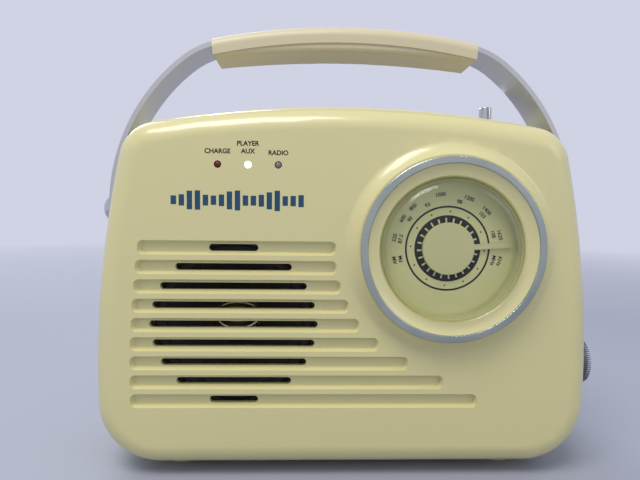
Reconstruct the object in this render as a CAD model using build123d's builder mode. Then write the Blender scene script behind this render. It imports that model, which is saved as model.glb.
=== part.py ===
from build123d import *

import os
from math import asin, cos, degrees, radians, sqrt

# Portable mains-free radio in a moulded case with a folding carrying handle. Millimetres, +Z up.
# The front looks along -Y and +X is to the right seen from the front. The origin lies on the
# surface the radio stands on, midway between the handle's two pivots.

# Case: a front cover and a slightly larger rear shell that meet at a parting line
cover_width = 240.0
cover_height = 173.2
case_depth = 72.0
cover_depth = 13.0
cover_step = 1.0
side_radius = 500.0
top_radius = 550.0
widest_height = 40.0
bottom_corner = 31.0
top_corner = 19.0
front_round = 11.5
rear_round = 10.0
wall = 2.5
foot_height = 4.0
foot_radius = 8.75
foot_x = 82.0
foot_front_gap = 15.5
foot_rear_gap = 20.0

# Loudspeaker grille: grooves with a slot in each, the slots filling a circle
row_count = 9
row_pitch = 9.11
grille_x = -53.05
grille_height = 70.1
grille_radius = 39.8
slot_height = 3.3
groove_height = 6.7
groove_depth = 2.6
groove_taper = 27.0
groove_corner = 2.6
groove_side_inset = 18.5
groove_right_ends = (-5.0, -4.7, -2.5, 1.2, 6.4, 15.7, 30.0, 47.1, 63.7)
grille_wall = 5.0

# Tuning dial: radii, and heights in front of the cover's face (negative is behind it)
dial_x = 48.7
dial_height = 106.7
fairing_radius = 50.5
fairing_height = 5.2
ring_radius = 43.0
ring_width = 3.5
ring_height = 1.7
cone_lip_radius = 33.8
cone_lip_height = 4.6
plate_sink = 5.0
plate_thickness = 1.5
dome_radius = 33.0
dome_wall = 1.4
dome_height = 9.0
dome_round = 5.0
pointer_angle = 3.9
pointer_tip_radius = 29.9
pointer_width = 2.6
pointer_disc_radius = 12.5
pointer_disc_height = 1.8
pointer_skin = 0.6
shaft_radius = 3.0
well_clearance = 0.2
run_clearance = 0.05
gap = 0.35

# Indicator lamps
lamp_x = (-60.0, -46.1, -32.2)
lamp_height = 145.0
lamp_radius = 1.5
lamp_proud = 0.4

# Handle: a flat metal band bent over the case, with a two-piece grip
pivot_height = 124.0
handle_inset = 0.4
band_thickness = 2.3
band_width = 21.5
bend_radius = 97.4
bend_angle = 52.0
shoulder_radius = 43.0
crown_radius = 330.0
grip_half_length = 67.5
grip_end_slant = 1.0
grip_width = 25.0
grip_over = 1.9
grip_top_thickness = 9.0
grip_base_thickness = 4.0
grip_base_step = 0.7
grip_base_radius = 550.0
pivot_radius = 3.0
pivot_cap_radius = 7.9
pivot_cap_height = 5.4
pivot_boss_radius = 8.5
washer_thickness = 1.0

# Volume control on the right-hand side
volume_y = -6.0
volume_height = 45.0
knob_radius = 12.0
knob_length = 11.0
knob_dome_radius = 16.0

# Push buttons on the top
button_x = (-30.0, -10.0, 10.0, 30.0)
button_names = ("mode", "previous", "play", "next")
button_length = 12.0
button_depth = 7.0
button_proud = 1.5
button_travel = 0.8
panel_length = 88.0
panel_depth = 15.0
panel_proud = 0.6
panel_sink = 1.0
panel_corner = 3.0

# Telescopic antenna at the rear right
antenna_x = 85.0
antenna_back_gap = 12.0
antenna_base_height = 45.0
antenna_tube_top = 176.0
antenna_radius = 3.5
antenna_step = 0.5
antenna_cap_radius = 3.6
antenna_cap_height = 8.6
antenna_sections = 3

# Sockets on the back
socket_panel_x = (16.0, 92.0)
socket_panel_height = (23.0, 41.0)
socket_board_height = 28.4
power_x = 24.0
usb_x = 40.0
card_x = 56.0
aux_x = 70.0
aux_radius = 1.8
aux_depth = 14.0
band_slider_x = 82.0
band_slider_travel = 4.0

# Battery bay on the back
cell_radius = 9.15
cell_length = 65.0
cell_button = 1.2
cell_button_radius = 3.5
contact_plate = 0.5
bay_x = -55.0
bay_height = 29.0
bay_length = 74.0
bay_opening = 21.0
bay_wall = 1.5
door_thickness = 1.3
door_ledge = 2.0
door_lip = 2.0

# Ferrite aerial behind the buttons
rod_radius = 5.0
rod_y = 20.0
rod_height = 152.0
rod_half_length = 32.0
rod_coil_length = 24.0

# Loudspeaker
speaker_radius = 45.0
speaker_flange = 1.5
gasket = 1.0
basket_rear_radius = 22.0
basket_depth = 18.0
magnet_radius = 20.0
magnet_depth = 9.0
dust_cap_radius = 12.3
dust_cap_height = 5.5

# Circuit boards and fixings
board = 1.6
main_board_behind_face = 12.0
screw_radius = 1.2
screw_head_radius = 2.5
screw_head = 1.5
case_screw_radius = 1.5
case_screw_head_radius = 2.8

# Planes and heights that follow from the sizes above
face_y = -case_depth / 2
back_y = case_depth / 2
split_y = face_y + cover_depth
base_z = foot_height + cover_step
shell_base_z = foot_height
top_z = base_z + cover_height
widest_z = base_z + widest_height
dial_z = base_z + dial_height
grille_z = base_z + grille_height
pivot_z = base_z + pivot_height
half_span = cover_width / 2 - handle_inset
volume_z = base_z + volume_height
rod_z = base_z + rod_height
plate_front_y = face_y + plate_sink
plate_back_y = plate_front_y + plate_thickness
ledge_back_y = plate_back_y + 1.8
dial_axis = Axis((dial_x, 0, dial_z), (0, 1, 0))
dial_section = Plane(origin=(dial_x, 0, dial_z), x_dir=(1, 0, 0), z_dir=(0, 0, 1))
speaker_axis = Axis((grille_x, 0, grille_z), (0, 1, 0))
speaker_section = Plane(origin=(grille_x, 0, grille_z), x_dir=(1, 0, 0), z_dir=(0, 0, 1))

os.makedirs("parts", exist_ok=True)


def facing(y):
    """Plane across the radio at depth y: sketch x is X, sketch y is Z, extrusion goes to the front."""
    return Plane.XZ.offset(-y)


def sideways(side, x):
    """Plane facing outwards at distance x on the right (side 1) or the left (side -1)."""
    return Plane(origin=(side * x, 0, 0), x_dir=(0, side, 0), z_dir=(side, 0, 0))


def finish(piece, label):
    """Label a finished piece and write it as its own STEP file."""
    piece.part.label = label
    export_step(piece.part, f"parts/{label}.step")


def half_width(z):
    """Half the front cover's width at height z."""
    return sqrt(side_radius**2 - (z - widest_z) ** 2) - (side_radius - cover_width / 2)


def top_at(x, outset=0.0):
    """Height of the case's arched top at x, measured on a surface set out by outset."""
    return top_z - top_radius + sqrt((top_radius + outset) ** 2 - x**2)


def draw_case(inset):
    """Draw the case's front outline on the sketch in progress, set in by inset all round."""
    with Locations((0, top_z - top_radius)):
        Circle(top_radius - inset)
    for side in (-1, 1):
        with Locations((side * (side_radius - cover_width / 2), widest_z)):
            Circle(side_radius - inset, mode=Mode.INTERSECT)
    with Locations((0, base_z + inset + cover_width)):
        Rectangle(2 * cover_width, 2 * cover_width, mode=Mode.INTERSECT)
    fillet(vertices().group_by(Axis.Y)[0], bottom_corner - inset)
    fillet(vertices().group_by(Axis.Y)[-1], top_corner - inset)


def case_block(inset, front, back, rounded_end, edge_round):
    """Return a block with the case's outline whose front (0) or back (-1) edges are rounded."""
    with BuildPart() as block:
        with BuildSketch(facing(back)):
            draw_case(inset)
        extrude(amount=back - front)
        fillet(block.faces().sort_by(Axis.Y)[rounded_end].edges(), edge_round)
    return block.part


def top_strip(length, depth, low, high):
    """Return a block of the given plan size between two surfaces set out from the case's outline."""
    with BuildPart() as strip:
        with BuildSketch(facing(depth / 2)):
            draw_case(-high)
        extrude(amount=depth)
        with BuildSketch(facing(depth / 2)):
            draw_case(-low)
        extrude(amount=depth, mode=Mode.SUBTRACT)
        with BuildSketch(Plane.XY.offset(widest_z)):
            RectangleRounded(length, depth, panel_corner)
        extrude(amount=cover_height, mode=Mode.INTERSECT)
    return strip.part


# --- front cover -------------------------------------------------------------------------------

row_heights = [grille_z + row_pitch * ((row_count - 1) / 2 - row) for row in range(row_count)]
case_screw_points = [
    (side * x, base_z + height) for side in (-1, 1) for x, height in ((92.0, 12.0), (97.0, 146.0))
]
case_boss_radius = 4.0
main_board_x = (8.0, 88.0)
main_board_height = (66.0, 148.0)
main_board_front_y = face_y + main_board_behind_face
main_board_back_y = main_board_front_y + board
main_board_screws = [
    (x, base_z + height)
    for x in (main_board_x[0] + 6, main_board_x[1] - 6)
    for height in (main_board_height[0] + 6, main_board_height[1] - 6)
]
lamp_board_front_y = face_y + 8.0
lamp_board_x = (lamp_x[0] - 15.0, lamp_x[-1] + 15.0)
lamp_board_screws = [(x, base_z + lamp_height) for x in (lamp_board_x[0] + 4, lamp_board_x[1] - 4)]
lamp_hole_radius = lamp_radius + 0.2
speaker_screw_circle = speaker_radius - 3.0
well_radius = ring_radius - ring_width - 1.5
plate_radius = well_radius - well_clearance
well_wall = 2.2
standoff_radius = 3.0

with BuildPart() as front_shell:
    add(case_block(0, face_y, split_y, 0, front_round))
    add(case_block(wall, face_y + wall, split_y, 0, front_round - wall), mode=Mode.SUBTRACT)
    # thicker wall behind the grille
    with BuildSketch(facing(face_y + grille_wall)):
        for z, right_end in zip(row_heights, groove_right_ends):
            left_end = -half_width(z) + groove_side_inset
            with Locations(((left_end + right_end) / 2, z)):
                Rectangle(right_end - left_end + 2 * wall, row_pitch + 0.4)
    extrude(amount=grille_wall - wall / 2)
    # raised fairing round the dial, with the dial's well behind it
    with BuildSketch(dial_section):
        with BuildLine():
            crest = ring_radius + 0.9
            lip = Line((0, face_y - fairing_height), (crest, face_y - fairing_height))
            flank = ThreePointArc(
                lip @ 1,
                ((crest + fairing_radius) / 2 - 0.5, face_y - fairing_height / 2 + 0.5),
                (fairing_radius, face_y),
            )
            Polyline(
                flank @ 1,
                (fairing_radius, face_y + wall),
                (well_radius + well_wall, face_y + wall),
                (well_radius + well_wall, ledge_back_y),
                (0, ledge_back_y),
                lip @ 0,
            )
        make_face()
    revolve(axis=dial_axis)
    with BuildSketch(facing(plate_back_y)):
        with Locations((dial_x, dial_z)):
            Circle(well_radius)
    extrude(amount=plate_back_y - face_y + fairing_height + wall, mode=Mode.SUBTRACT)
    with BuildSketch(facing(ledge_back_y + wall)):
        with Locations((dial_x, dial_z)):
            Circle(cone_lip_radius)
    extrude(amount=2 * wall + plate_thickness, mode=Mode.SUBTRACT)
    # grooves, and the slots in them
    for z, right_end in zip(row_heights, groove_right_ends):
        left_end = -half_width(z) + groove_side_inset
        with BuildSketch(facing(face_y)):
            with Locations(((left_end + right_end) / 2, z)):
                RectangleRounded(right_end - left_end, groove_height, groove_corner)
        extrude(amount=-groove_depth, taper=groove_taper, mode=Mode.SUBTRACT)
    with BuildSketch(facing(face_y + grille_wall)):
        for z in row_heights:
            reach = abs(z - grille_z) + slot_height / 2
            with Locations((grille_x, z)):
                SlotOverall(2 * sqrt(grille_radius**2 - reach**2), slot_height)
    extrude(amount=grille_wall, mode=Mode.SUBTRACT)
    # bosses for the case screws and the two circuit boards
    with BuildSketch(facing(split_y)):
        with Locations(*case_screw_points):
            Circle(case_boss_radius)
    extrude(amount=cover_depth - wall / 2)
    with BuildSketch(facing(main_board_front_y)):
        with Locations(*main_board_screws):
            Circle(standoff_radius)
    extrude(amount=main_board_behind_face - wall / 2)
    with BuildSketch(facing(lamp_board_front_y)):
        with Locations(*lamp_board_screws):
            Circle(standoff_radius)
    extrude(amount=lamp_board_front_y - face_y - wall / 2)
    # blind screw holes, and the lamp holes
    with BuildSketch(facing(split_y)):
        with Locations(*case_screw_points):
            Circle(case_screw_radius)
    extrude(amount=cover_depth - wall, mode=Mode.SUBTRACT)
    with BuildSketch(facing(main_board_front_y)):
        with Locations(*main_board_screws):
            Circle(screw_radius)
    extrude(amount=main_board_behind_face - wall, mode=Mode.SUBTRACT)
    with BuildSketch(facing(lamp_board_front_y)):
        with Locations(*lamp_board_screws):
            Circle(screw_radius)
    extrude(amount=lamp_board_front_y - face_y - wall, mode=Mode.SUBTRACT)
    with BuildSketch(facing(face_y + grille_wall)):
        with Locations((grille_x, grille_z)):
            with PolarLocations(speaker_screw_circle, 4, start_angle=45):
                Circle(screw_radius)
    extrude(amount=grille_wall - groove_depth - 0.4, mode=Mode.SUBTRACT)
    with BuildSketch(facing(face_y + wall)):
        with Locations(*[(x, base_z + lamp_height) for x in lamp_x]):
            Circle(lamp_hole_radius)
    extrude(amount=2 * wall, mode=Mode.SUBTRACT)
finish(front_shell, "front_shell")

# --- rear shell --------------------------------------------------------------------------------

cavity_back_y = back_y - wall
antenna_y = back_y - antenna_back_gap
antenna_hole_radius = antenna_radius + 0.8
antenna_bottom_z = base_z + antenna_base_height
antenna_holder_width = 12.0
antenna_holder_height = 8.0
rod_holder_width = 9.0
rod_holder_thickness = 6.0
boss_face_x = half_span - band_thickness - gap - washer_thickness
shell_side_x = half_width(volume_z) + cover_step
volume_board_x = shell_side_x - 21.0
volume_board_width = 24.0
volume_board_base_z = shell_base_z + wall + 2.0
rail_thickness = 3.0
rail_height = 8.0
ceiling_outset = cover_step - wall
flange_margin = 1.2
flange_thickness = 1.2
switch_height = 4.2
stem_minimum = 2.0
button_reach = button_length / 2 + flange_margin
button_floor_z = top_at(button_x[-1] + button_reach, ceiling_outset) - gap - flange_thickness
switch_top_z = button_floor_z - stem_minimum - button_travel - gap
button_board_top_z = switch_top_z - switch_height
button_board_x = panel_length / 2 + 7.0
button_post_x = panel_length / 2 + 3.5
socket_board_z = base_z + socket_board_height
socket_mid_z = socket_board_z + 2.9
panel_thickness = 1.2
band_slot = (8.0, 3.2)
socket_sizes = {
    usb_x: (13.2, 5.8),
    card_x: (13.0, 2.2),
    power_x: (9.0, 3.4),
    band_slider_x: band_slot,
}
aux_barrel_radius = 3.0
socket_board_x = (socket_panel_x[0] + 1, socket_panel_x[1] - 1)
socket_board_y = (6.0, cavity_back_y - gap)
socket_screw_points = [
    (x, y)
    for x in (socket_board_x[0] + 6, socket_board_x[1] - 6)
    for y in (socket_board_y[0] + 4, socket_board_y[0] + 11)
]
bay_z = base_z + bay_height
bay_depth = 2 * cell_radius + 1.5
bay_floor_y = cavity_back_y - bay_depth
vent_count = 6
vent_pitch = 7.0
vent_size = (44.0, 2.4)
vent_z = base_z + 84.0

with BuildPart() as rear_shell:
    add(case_block(-cover_step, split_y, back_y, -1, rear_round))
    add(
        case_block(wall - cover_step, split_y, cavity_back_y, -1, rear_round - wall),
        mode=Mode.SUBTRACT,
    )
    chamfer(rear_shell.faces().sort_by(Axis.Y)[0].outer_wire().edges(), 0.8 * cover_step)
    # round lands on the sides for the handle's washers, bored for the pivot screws
    for side in (-1, 1):
        with BuildSketch(sideways(side, boss_face_x)):
            with Locations((0, pivot_z)):
                Circle(pivot_boss_radius)
        extrude(amount=half_width(pivot_z) - wall - boss_face_x)
    with BuildSketch(sideways(1, -half_span)):
        with Locations((0, pivot_z)):
            Circle(pivot_radius)
    extrude(amount=2 * half_span, mode=Mode.SUBTRACT)
    # hole for the volume shaft, and a slotted rail that holds its board
    with BuildSketch(sideways(1, volume_board_x)):
        with Locations((volume_y, volume_z)):
            Circle(shaft_radius + gap)
    extrude(amount=shell_side_x, mode=Mode.SUBTRACT)
    with BuildSketch(sideways(1, volume_board_x - rail_thickness)):
        with Locations((volume_y, shell_base_z + wall + rail_height / 2 - 0.5)):
            Rectangle(volume_board_width, rail_height + 1)
    extrude(amount=board + 2 * rail_thickness)
    with BuildSketch(sideways(1, volume_board_x)):
        with Locations((volume_y, volume_board_base_z + rail_height)):
            Rectangle(volume_board_width, 2 * rail_height)
    extrude(amount=board, mode=Mode.SUBTRACT)
    # tubes for the case screws, counterbored from the back
    with BuildSketch(facing(back_y - wall / 2)):
        with Locations(*case_screw_points):
            Circle(case_boss_radius)
    extrude(amount=back_y - wall / 2 - split_y)
    with BuildSketch(facing(back_y)):
        with Locations(*case_screw_points):
            Circle(case_screw_radius)
    extrude(amount=case_depth, mode=Mode.SUBTRACT)
    with BuildSketch(facing(back_y)):
        with Locations(*case_screw_points):
            Circle(case_screw_head_radius + 0.2)
    extrude(amount=back_y - split_y - 20, mode=Mode.SUBTRACT)
    # pocket and holes for the buttons on the top, and posts for their board
    add(
        top_strip(panel_length + 0.2, panel_depth + 0.2, cover_step - panel_sink, 4 * cover_step),
        mode=Mode.SUBTRACT,
    )
    with BuildSketch(Plane.XY.offset(button_floor_z)):
        with Locations(*[(x, 0) for x in button_x]):
            Rectangle(button_length + 2 * gap, button_depth + 2 * gap)
    extrude(amount=cover_height, mode=Mode.SUBTRACT)
    with BuildSketch(Plane.XY.offset(button_board_top_z)):
        with Locations((-button_post_x, 0), (button_post_x, 0)):
            Circle(standoff_radius)
    extrude(amount=top_at(button_post_x) - wall / 2 - button_board_top_z)
    with BuildSketch(Plane.XY.offset(button_board_top_z)):
        with Locations((-button_post_x, 0), (button_post_x, 0)):
            Circle(screw_radius)
    extrude(amount=5, mode=Mode.SUBTRACT)
    # recess for the socket panel, the sockets' holes, and posts for their board
    with BuildSketch(facing(back_y)):
        with Locations((sum(socket_panel_x) / 2, base_z + sum(socket_panel_height) / 2)):
            RectangleRounded(
                socket_panel_x[1] - socket_panel_x[0] + 0.2,
                socket_panel_height[1] - socket_panel_height[0] + 0.2,
                2.1,
            )
    extrude(amount=panel_thickness, mode=Mode.SUBTRACT)
    with BuildSketch(facing(back_y)):
        for x, (width, height) in socket_sizes.items():
            with Locations((x, socket_mid_z)):
                Rectangle(width + 2 * gap, height + 2 * gap)
        with Locations((aux_x, socket_mid_z)):
            Circle(aux_barrel_radius + gap)
    extrude(amount=2 * wall, mode=Mode.SUBTRACT)
    with BuildSketch(Plane.XY.offset(shell_base_z + wall / 2)):
        with Locations(*socket_screw_points):
            Circle(standoff_radius)
    extrude(amount=socket_board_z - board - shell_base_z - wall / 2)
    with BuildSketch(Plane.XY.offset(socket_board_z - board)):
        with Locations(*socket_screw_points):
            Circle(screw_radius)
    extrude(amount=-6, mode=Mode.SUBTRACT)
    # battery bay: a tray open to the back, with a stepped edge for its lid
    with BuildSketch(facing(back_y - wall / 2)):
        with Locations((bay_x, bay_z)):
            Rectangle(bay_length + 2 * bay_wall, bay_opening + 2 * bay_wall)
    extrude(amount=back_y - wall / 2 - bay_floor_y + bay_wall)
    with BuildSketch(facing(back_y)):
        with Locations((bay_x, bay_z)):
            Rectangle(bay_length, bay_opening)
    extrude(amount=back_y - bay_floor_y, mode=Mode.SUBTRACT)
    with BuildSketch(facing(back_y)):
        with Locations((bay_x, bay_z)):
            RectangleRounded(bay_length + 2 * door_ledge, bay_opening + 2 * door_ledge, 2.5)
    extrude(amount=door_thickness, mode=Mode.SUBTRACT)
    # sound slots behind the loudspeaker, and the antenna's hole
    with BuildSketch(facing(back_y)):
        with Locations((grille_x, vent_z)):
            with GridLocations(0, vent_pitch, 1, vent_count):
                SlotOverall(*vent_size)
    extrude(amount=2 * wall, mode=Mode.SUBTRACT)
    with BuildSketch(Plane.XY.offset(pivot_z)):
        with Locations((antenna_x, antenna_y)):
            Circle(antenna_hole_radius)
    extrude(amount=cover_height, mode=Mode.SUBTRACT)
    # supports for the ferrite rod and for the antenna's lower end, moulded on the back wall
    for side in (-1, 1):
        holder_x = side * (rod_half_length - rod_holder_thickness) - rod_holder_thickness / 2
        with BuildSketch(Plane.YZ.offset(holder_x)):
            with Locations(((rod_y + cavity_back_y + wall / 2) / 2, rod_z)):
                Rectangle(cavity_back_y + wall / 2 - rod_y, rod_holder_width)
            with Locations((rod_y, rod_z)):
                Circle(rod_radius + 2)
                Circle(rod_radius, mode=Mode.SUBTRACT)
        extrude(amount=rod_holder_thickness)
    with BuildSketch(Plane.XY.offset(antenna_bottom_z + 2)):
        holder_front_y = antenna_y - antenna_holder_width / 2
        with Locations((antenna_x, (holder_front_y + cavity_back_y + wall / 2) / 2)):
            Rectangle(antenna_holder_width, cavity_back_y + wall / 2 - holder_front_y)
        with Locations((antenna_x, antenna_y)):
            Circle(antenna_radius, mode=Mode.SUBTRACT)
    extrude(amount=antenna_holder_height)
finish(rear_shell, "rear_shell")

with BuildPart() as feet:
    foot_y = (face_y + foot_front_gap + foot_radius, back_y - foot_rear_gap)
    with BuildSketch():
        with Locations(*[(side * foot_x, y) for side in (-1, 1) for y in foot_y]):
            Circle(foot_radius)
    extrude(amount=foot_height)
    fillet(feet.edges().group_by(Axis.Z)[0], 1.2)
finish(feet, "feet")

with BuildPart() as case_screws:
    screw_seat_y = split_y + 20
    with BuildSketch(facing(screw_seat_y)):
        with Locations(*case_screw_points):
            Circle(case_screw_radius)
    extrude(amount=screw_seat_y - split_y + cover_depth - 2 * wall)
    with BuildSketch(facing(screw_seat_y)):
        with Locations(*case_screw_points):
            Circle(case_screw_head_radius)
    extrude(amount=-2)
    with BuildSketch(facing(screw_seat_y + 2)):
        with Locations(*case_screw_points):
            RegularPolygon(1.3, 4)
    extrude(amount=1.2, mode=Mode.SUBTRACT)
finish(case_screws, "case_screws")

# --- tuning dial -------------------------------------------------------------------------------

with BuildPart() as dial_cone:
    with BuildSketch(dial_section):
        with BuildLine():
            seat = face_y - fairing_height
            rim = Polyline(
                (plate_radius, seat),
                (plate_radius, plate_front_y),
                (cone_lip_radius, plate_front_y),
                (cone_lip_radius, face_y - cone_lip_height + 0.6),
                (cone_lip_radius + 0.6, face_y - cone_lip_height),
            )
            cone_top = (ring_radius - ring_width, seat - 1.2)
            ThreePointArc(
                rim @ 1,
                (
                    (cone_lip_radius + cone_top[0]) / 2 + 0.3,
                    (face_y - cone_lip_height + cone_top[1]) / 2 + 0.3,
                ),
                cone_top,
            )
            Polyline(cone_top, (cone_top[0], seat), rim @ 0)
        make_face()
    revolve(axis=dial_axis)
finish(dial_cone, "dial_cone")

with BuildPart() as dial_ring:
    with BuildSketch(dial_section):
        with Locations((ring_radius - ring_width / 2, seat - ring_height / 2)):
            Rectangle(ring_width, ring_height)
        fillet(vertices().group_by(Axis.Y)[0], 0.6)
    revolve(axis=dial_axis)
finish(dial_ring, "dial_ring")

with BuildPart() as dial_plate:
    with BuildSketch(facing(plate_back_y)):
        with Locations((dial_x, dial_z)):
            Circle(plate_radius)
            Circle(shaft_radius + gap, mode=Mode.SUBTRACT)
    extrude(amount=plate_thickness)
finish(dial_plate, "dial_plate")

dome_foot_y = plate_front_y - 0.6
pointer_back_y = plate_front_y - 0.5
pointer_front_y = pointer_back_y - pointer_disc_height
dome_front_y = face_y - dome_height

with BuildPart() as pointer:
    with BuildSketch(facing(pointer_back_y)):
        with Locations((dial_x, dial_z)):
            Circle(pointer_disc_radius)
    extrude(amount=pointer_disc_height)
    fillet(pointer.edges().group_by(Axis.Y)[0], 0.4)
    with BuildSketch(facing(pointer_back_y)):
        with Locations(Location((dial_x, dial_z), pointer_angle)):
            with Locations(((pointer_disc_radius + pointer_tip_radius) / 2 - 1, 0)):
                Rectangle(pointer_tip_radius - pointer_disc_radius + 2, pointer_width)
    extrude(amount=1.0)
    with BuildSketch(facing(pointer_back_y)):
        with Locations((dial_x, dial_z)):
            Circle(shaft_radius)
    extrude(amount=pointer_disc_height - pointer_skin, mode=Mode.SUBTRACT)
finish(pointer, "pointer")

with BuildPart() as tuning_dome:
    with BuildSketch(dial_section):
        with BuildLine():
            inner_radius = dome_radius - dome_wall
            inner_y = dome_front_y + dome_wall
            boss = Polyline(
                (0, dome_front_y),
                (0, pointer_front_y),
                (shaft_radius, pointer_front_y),
                (shaft_radius, inner_y),
                (inner_radius - dome_round + dome_wall, inner_y),
            )
            inner_round = RadiusArc(
                boss @ 1,
                (inner_radius, inner_y + dome_round - dome_wall),
                dome_round - dome_wall,
            )
            skirt = Polyline(
                inner_round @ 1,
                (inner_radius, dome_foot_y),
                (dome_radius, dome_foot_y),
                (dome_radius, dome_front_y + dome_round),
            )
            RadiusArc(skirt @ 1, (dome_radius - dome_round, dome_front_y), -dome_round)
            Line((dome_radius - dome_round, dome_front_y), boss @ 0)
        make_face()
    revolve(axis=dial_axis)
finish(tuning_dome, "tuning_dome")

capacitor_front_y = main_board_back_y
capacitor_size = 20.0
capacitor_depth = 12.0
capacitor_cavity = 17.4
capacitor_wall = 1.6
capacitor_front_wall = 1.8
vane_radius = 8.0
vane_pitch = 2.4
vane_thickness = 0.8
vane_count = 3
vane_front_y = capacitor_front_y + capacitor_front_wall + 0.8

with BuildPart() as tuning_shaft:
    shaft_end_y = capacitor_front_y + capacitor_depth - capacitor_wall - gap
    with BuildSketch(facing(shaft_end_y)):
        with Locations((dial_x, dial_z)):
            Circle(shaft_radius)
    extrude(amount=shaft_end_y - pointer_front_y - pointer_skin)
    # half-round vanes of the tuning capacitor
    for layer in range(vane_count):
        with BuildSketch(facing(vane_front_y + layer * vane_pitch + vane_thickness)):
            with Locations((dial_x, dial_z)):
                Circle(vane_radius)
            with Locations((dial_x, dial_z + vane_radius)):
                Rectangle(2 * vane_radius, 2 * vane_radius, mode=Mode.SUBTRACT)
        extrude(amount=vane_thickness)
finish(tuning_shaft, "tuning_shaft")

with BuildPart() as tuning_capacitor:
    with BuildSketch(facing(capacitor_front_y + capacitor_depth)):
        with Locations((dial_x, dial_z)):
            RectangleRounded(capacitor_size, capacitor_size, 1.5)
    extrude(amount=capacitor_depth)
    with BuildSketch(facing(capacitor_front_y + capacitor_depth - capacitor_wall)):
        with Locations((dial_x, dial_z)):
            Rectangle(capacitor_cavity, capacitor_cavity)
    extrude(amount=capacitor_depth - capacitor_wall - capacitor_front_wall, mode=Mode.SUBTRACT)
    with BuildSketch(facing(capacitor_front_y + capacitor_front_wall)):
        with Locations((dial_x, dial_z)):
            Circle(shaft_radius + run_clearance)
    extrude(amount=capacitor_front_wall, mode=Mode.SUBTRACT)
finish(tuning_capacitor, "tuning_capacitor")

with BuildPart() as main_board:
    with BuildSketch(facing(main_board_back_y)):
        with Locations((sum(main_board_x) / 2, base_z + sum(main_board_height) / 2)):
            Rectangle(
                main_board_x[1] - main_board_x[0], main_board_height[1] - main_board_height[0]
            )
        with Locations((dial_x, dial_z)):
            Circle(shaft_radius + gap, mode=Mode.SUBTRACT)
        with Locations(*main_board_screws):
            Circle(screw_radius, mode=Mode.SUBTRACT)
    extrude(amount=board)
finish(main_board, "main_board")

# --- indicator lamps ---------------------------------------------------------------------------

with BuildPart() as lamp_board:
    with BuildSketch(facing(lamp_board_front_y + board)):
        with Locations((sum(lamp_board_x) / 2, base_z + lamp_height)):
            Rectangle(lamp_board_x[1] - lamp_board_x[0], 13)
        with Locations(*lamp_board_screws):
            Circle(screw_radius, mode=Mode.SUBTRACT)
    extrude(amount=board)
finish(lamp_board, "lamp_board")

for name, x in zip(("charge", "player", "radio"), lamp_x):
    with BuildPart() as lamp:
        with BuildSketch(facing(lamp_board_front_y)):
            with Locations((x, base_z + lamp_height)):
                Circle(lamp_radius)
        extrude(amount=lamp_board_front_y - face_y + lamp_proud)
        fillet(lamp.edges().group_by(Axis.Y)[0], 0.9 * lamp_radius)
        with BuildSketch(facing(lamp_board_front_y)):
            with Locations((x, base_z + lamp_height)):
                Circle(lamp_radius + 0.4)
        extrude(amount=1)
    finish(lamp, f"lamp_{name}")

# --- loudspeaker -------------------------------------------------------------------------------

gasket_back_y = face_y + grille_wall + gasket
flange_back_y = gasket_back_y + speaker_flange
basket_back_y = flange_back_y + basket_depth
surround_radius = speaker_radius - 7.0
cone_neck_radius = 11.0
cone_thickness = 0.6
coil_radius = 9.8
coil_gap = 0.6

with BuildPart() as speaker_gasket:
    with BuildSketch(facing(gasket_back_y)):
        with Locations((grille_x, grille_z)):
            Circle(speaker_radius)
            Circle(speaker_radius - 5, mode=Mode.SUBTRACT)
            with PolarLocations(speaker_screw_circle, 4, start_angle=45):
                Circle(screw_radius, mode=Mode.SUBTRACT)
    extrude(amount=gasket)
finish(speaker_gasket, "speaker_gasket")

with BuildPart() as speaker_frame:
    with BuildSketch(speaker_section):
        with BuildLine():
            Polyline(
                (speaker_radius, gasket_back_y),
                (speaker_radius, flange_back_y),
                (surround_radius + 1.4, flange_back_y),
                (basket_rear_radius, basket_back_y - 1.2),
                (basket_rear_radius, basket_back_y),
                (coil_radius + coil_gap, basket_back_y),
                (coil_radius + coil_gap, basket_back_y - 1.2),
                (basket_rear_radius - 1.4, basket_back_y - 1.2),
                (surround_radius, flange_back_y),
                (surround_radius, gasket_back_y),
                close=True,
            )
        make_face()
    revolve(axis=speaker_axis)
    with BuildSketch(facing(basket_back_y - 3)):
        with Locations((grille_x, grille_z)):
            with PolarLocations((surround_radius + basket_rear_radius) / 2 + 1, 4):
                RectangleRounded(9, 24, 3)
    extrude(amount=basket_depth - 5, mode=Mode.SUBTRACT)
    with BuildSketch(facing(flange_back_y)):
        with Locations((grille_x, grille_z)):
            with PolarLocations(speaker_screw_circle, 4, start_angle=45):
                Circle(screw_radius)
    extrude(amount=speaker_flange, mode=Mode.SUBTRACT)
finish(speaker_frame, "speaker_frame")

with BuildPart() as speaker_surround:
    with BuildSketch(speaker_section):
        with BuildLine():
            edge_y = flange_back_y - 0.4
            roll_outer = ThreePointArc(
                (surround_radius, edge_y),
                (surround_radius - 3, edge_y - 1.7),
                (surround_radius - 6, edge_y),
            )
            Line(roll_outer @ 1, (surround_radius - 5.2, edge_y))
            roll_inner = ThreePointArc(
                (surround_radius - 5.2, edge_y),
                (surround_radius - 3, edge_y - 1.1),
                (surround_radius - 0.8, edge_y),
            )
            Line(roll_inner @ 1, roll_outer @ 0)
        make_face()
    revolve(axis=speaker_axis)
finish(speaker_surround, "speaker_surround")

with BuildPart() as speaker_cone:
    with BuildSketch(speaker_section):
        with BuildLine():
            Polyline(
                (surround_radius - 6, edge_y),
                (surround_radius - 6, edge_y + cone_thickness),
                (cone_neck_radius, edge_y + 9 + cone_thickness),
                (cone_neck_radius, edge_y + 9),
                close=True,
            )
        make_face()
    revolve(axis=speaker_axis)
finish(speaker_cone, "speaker_cone")

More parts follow.
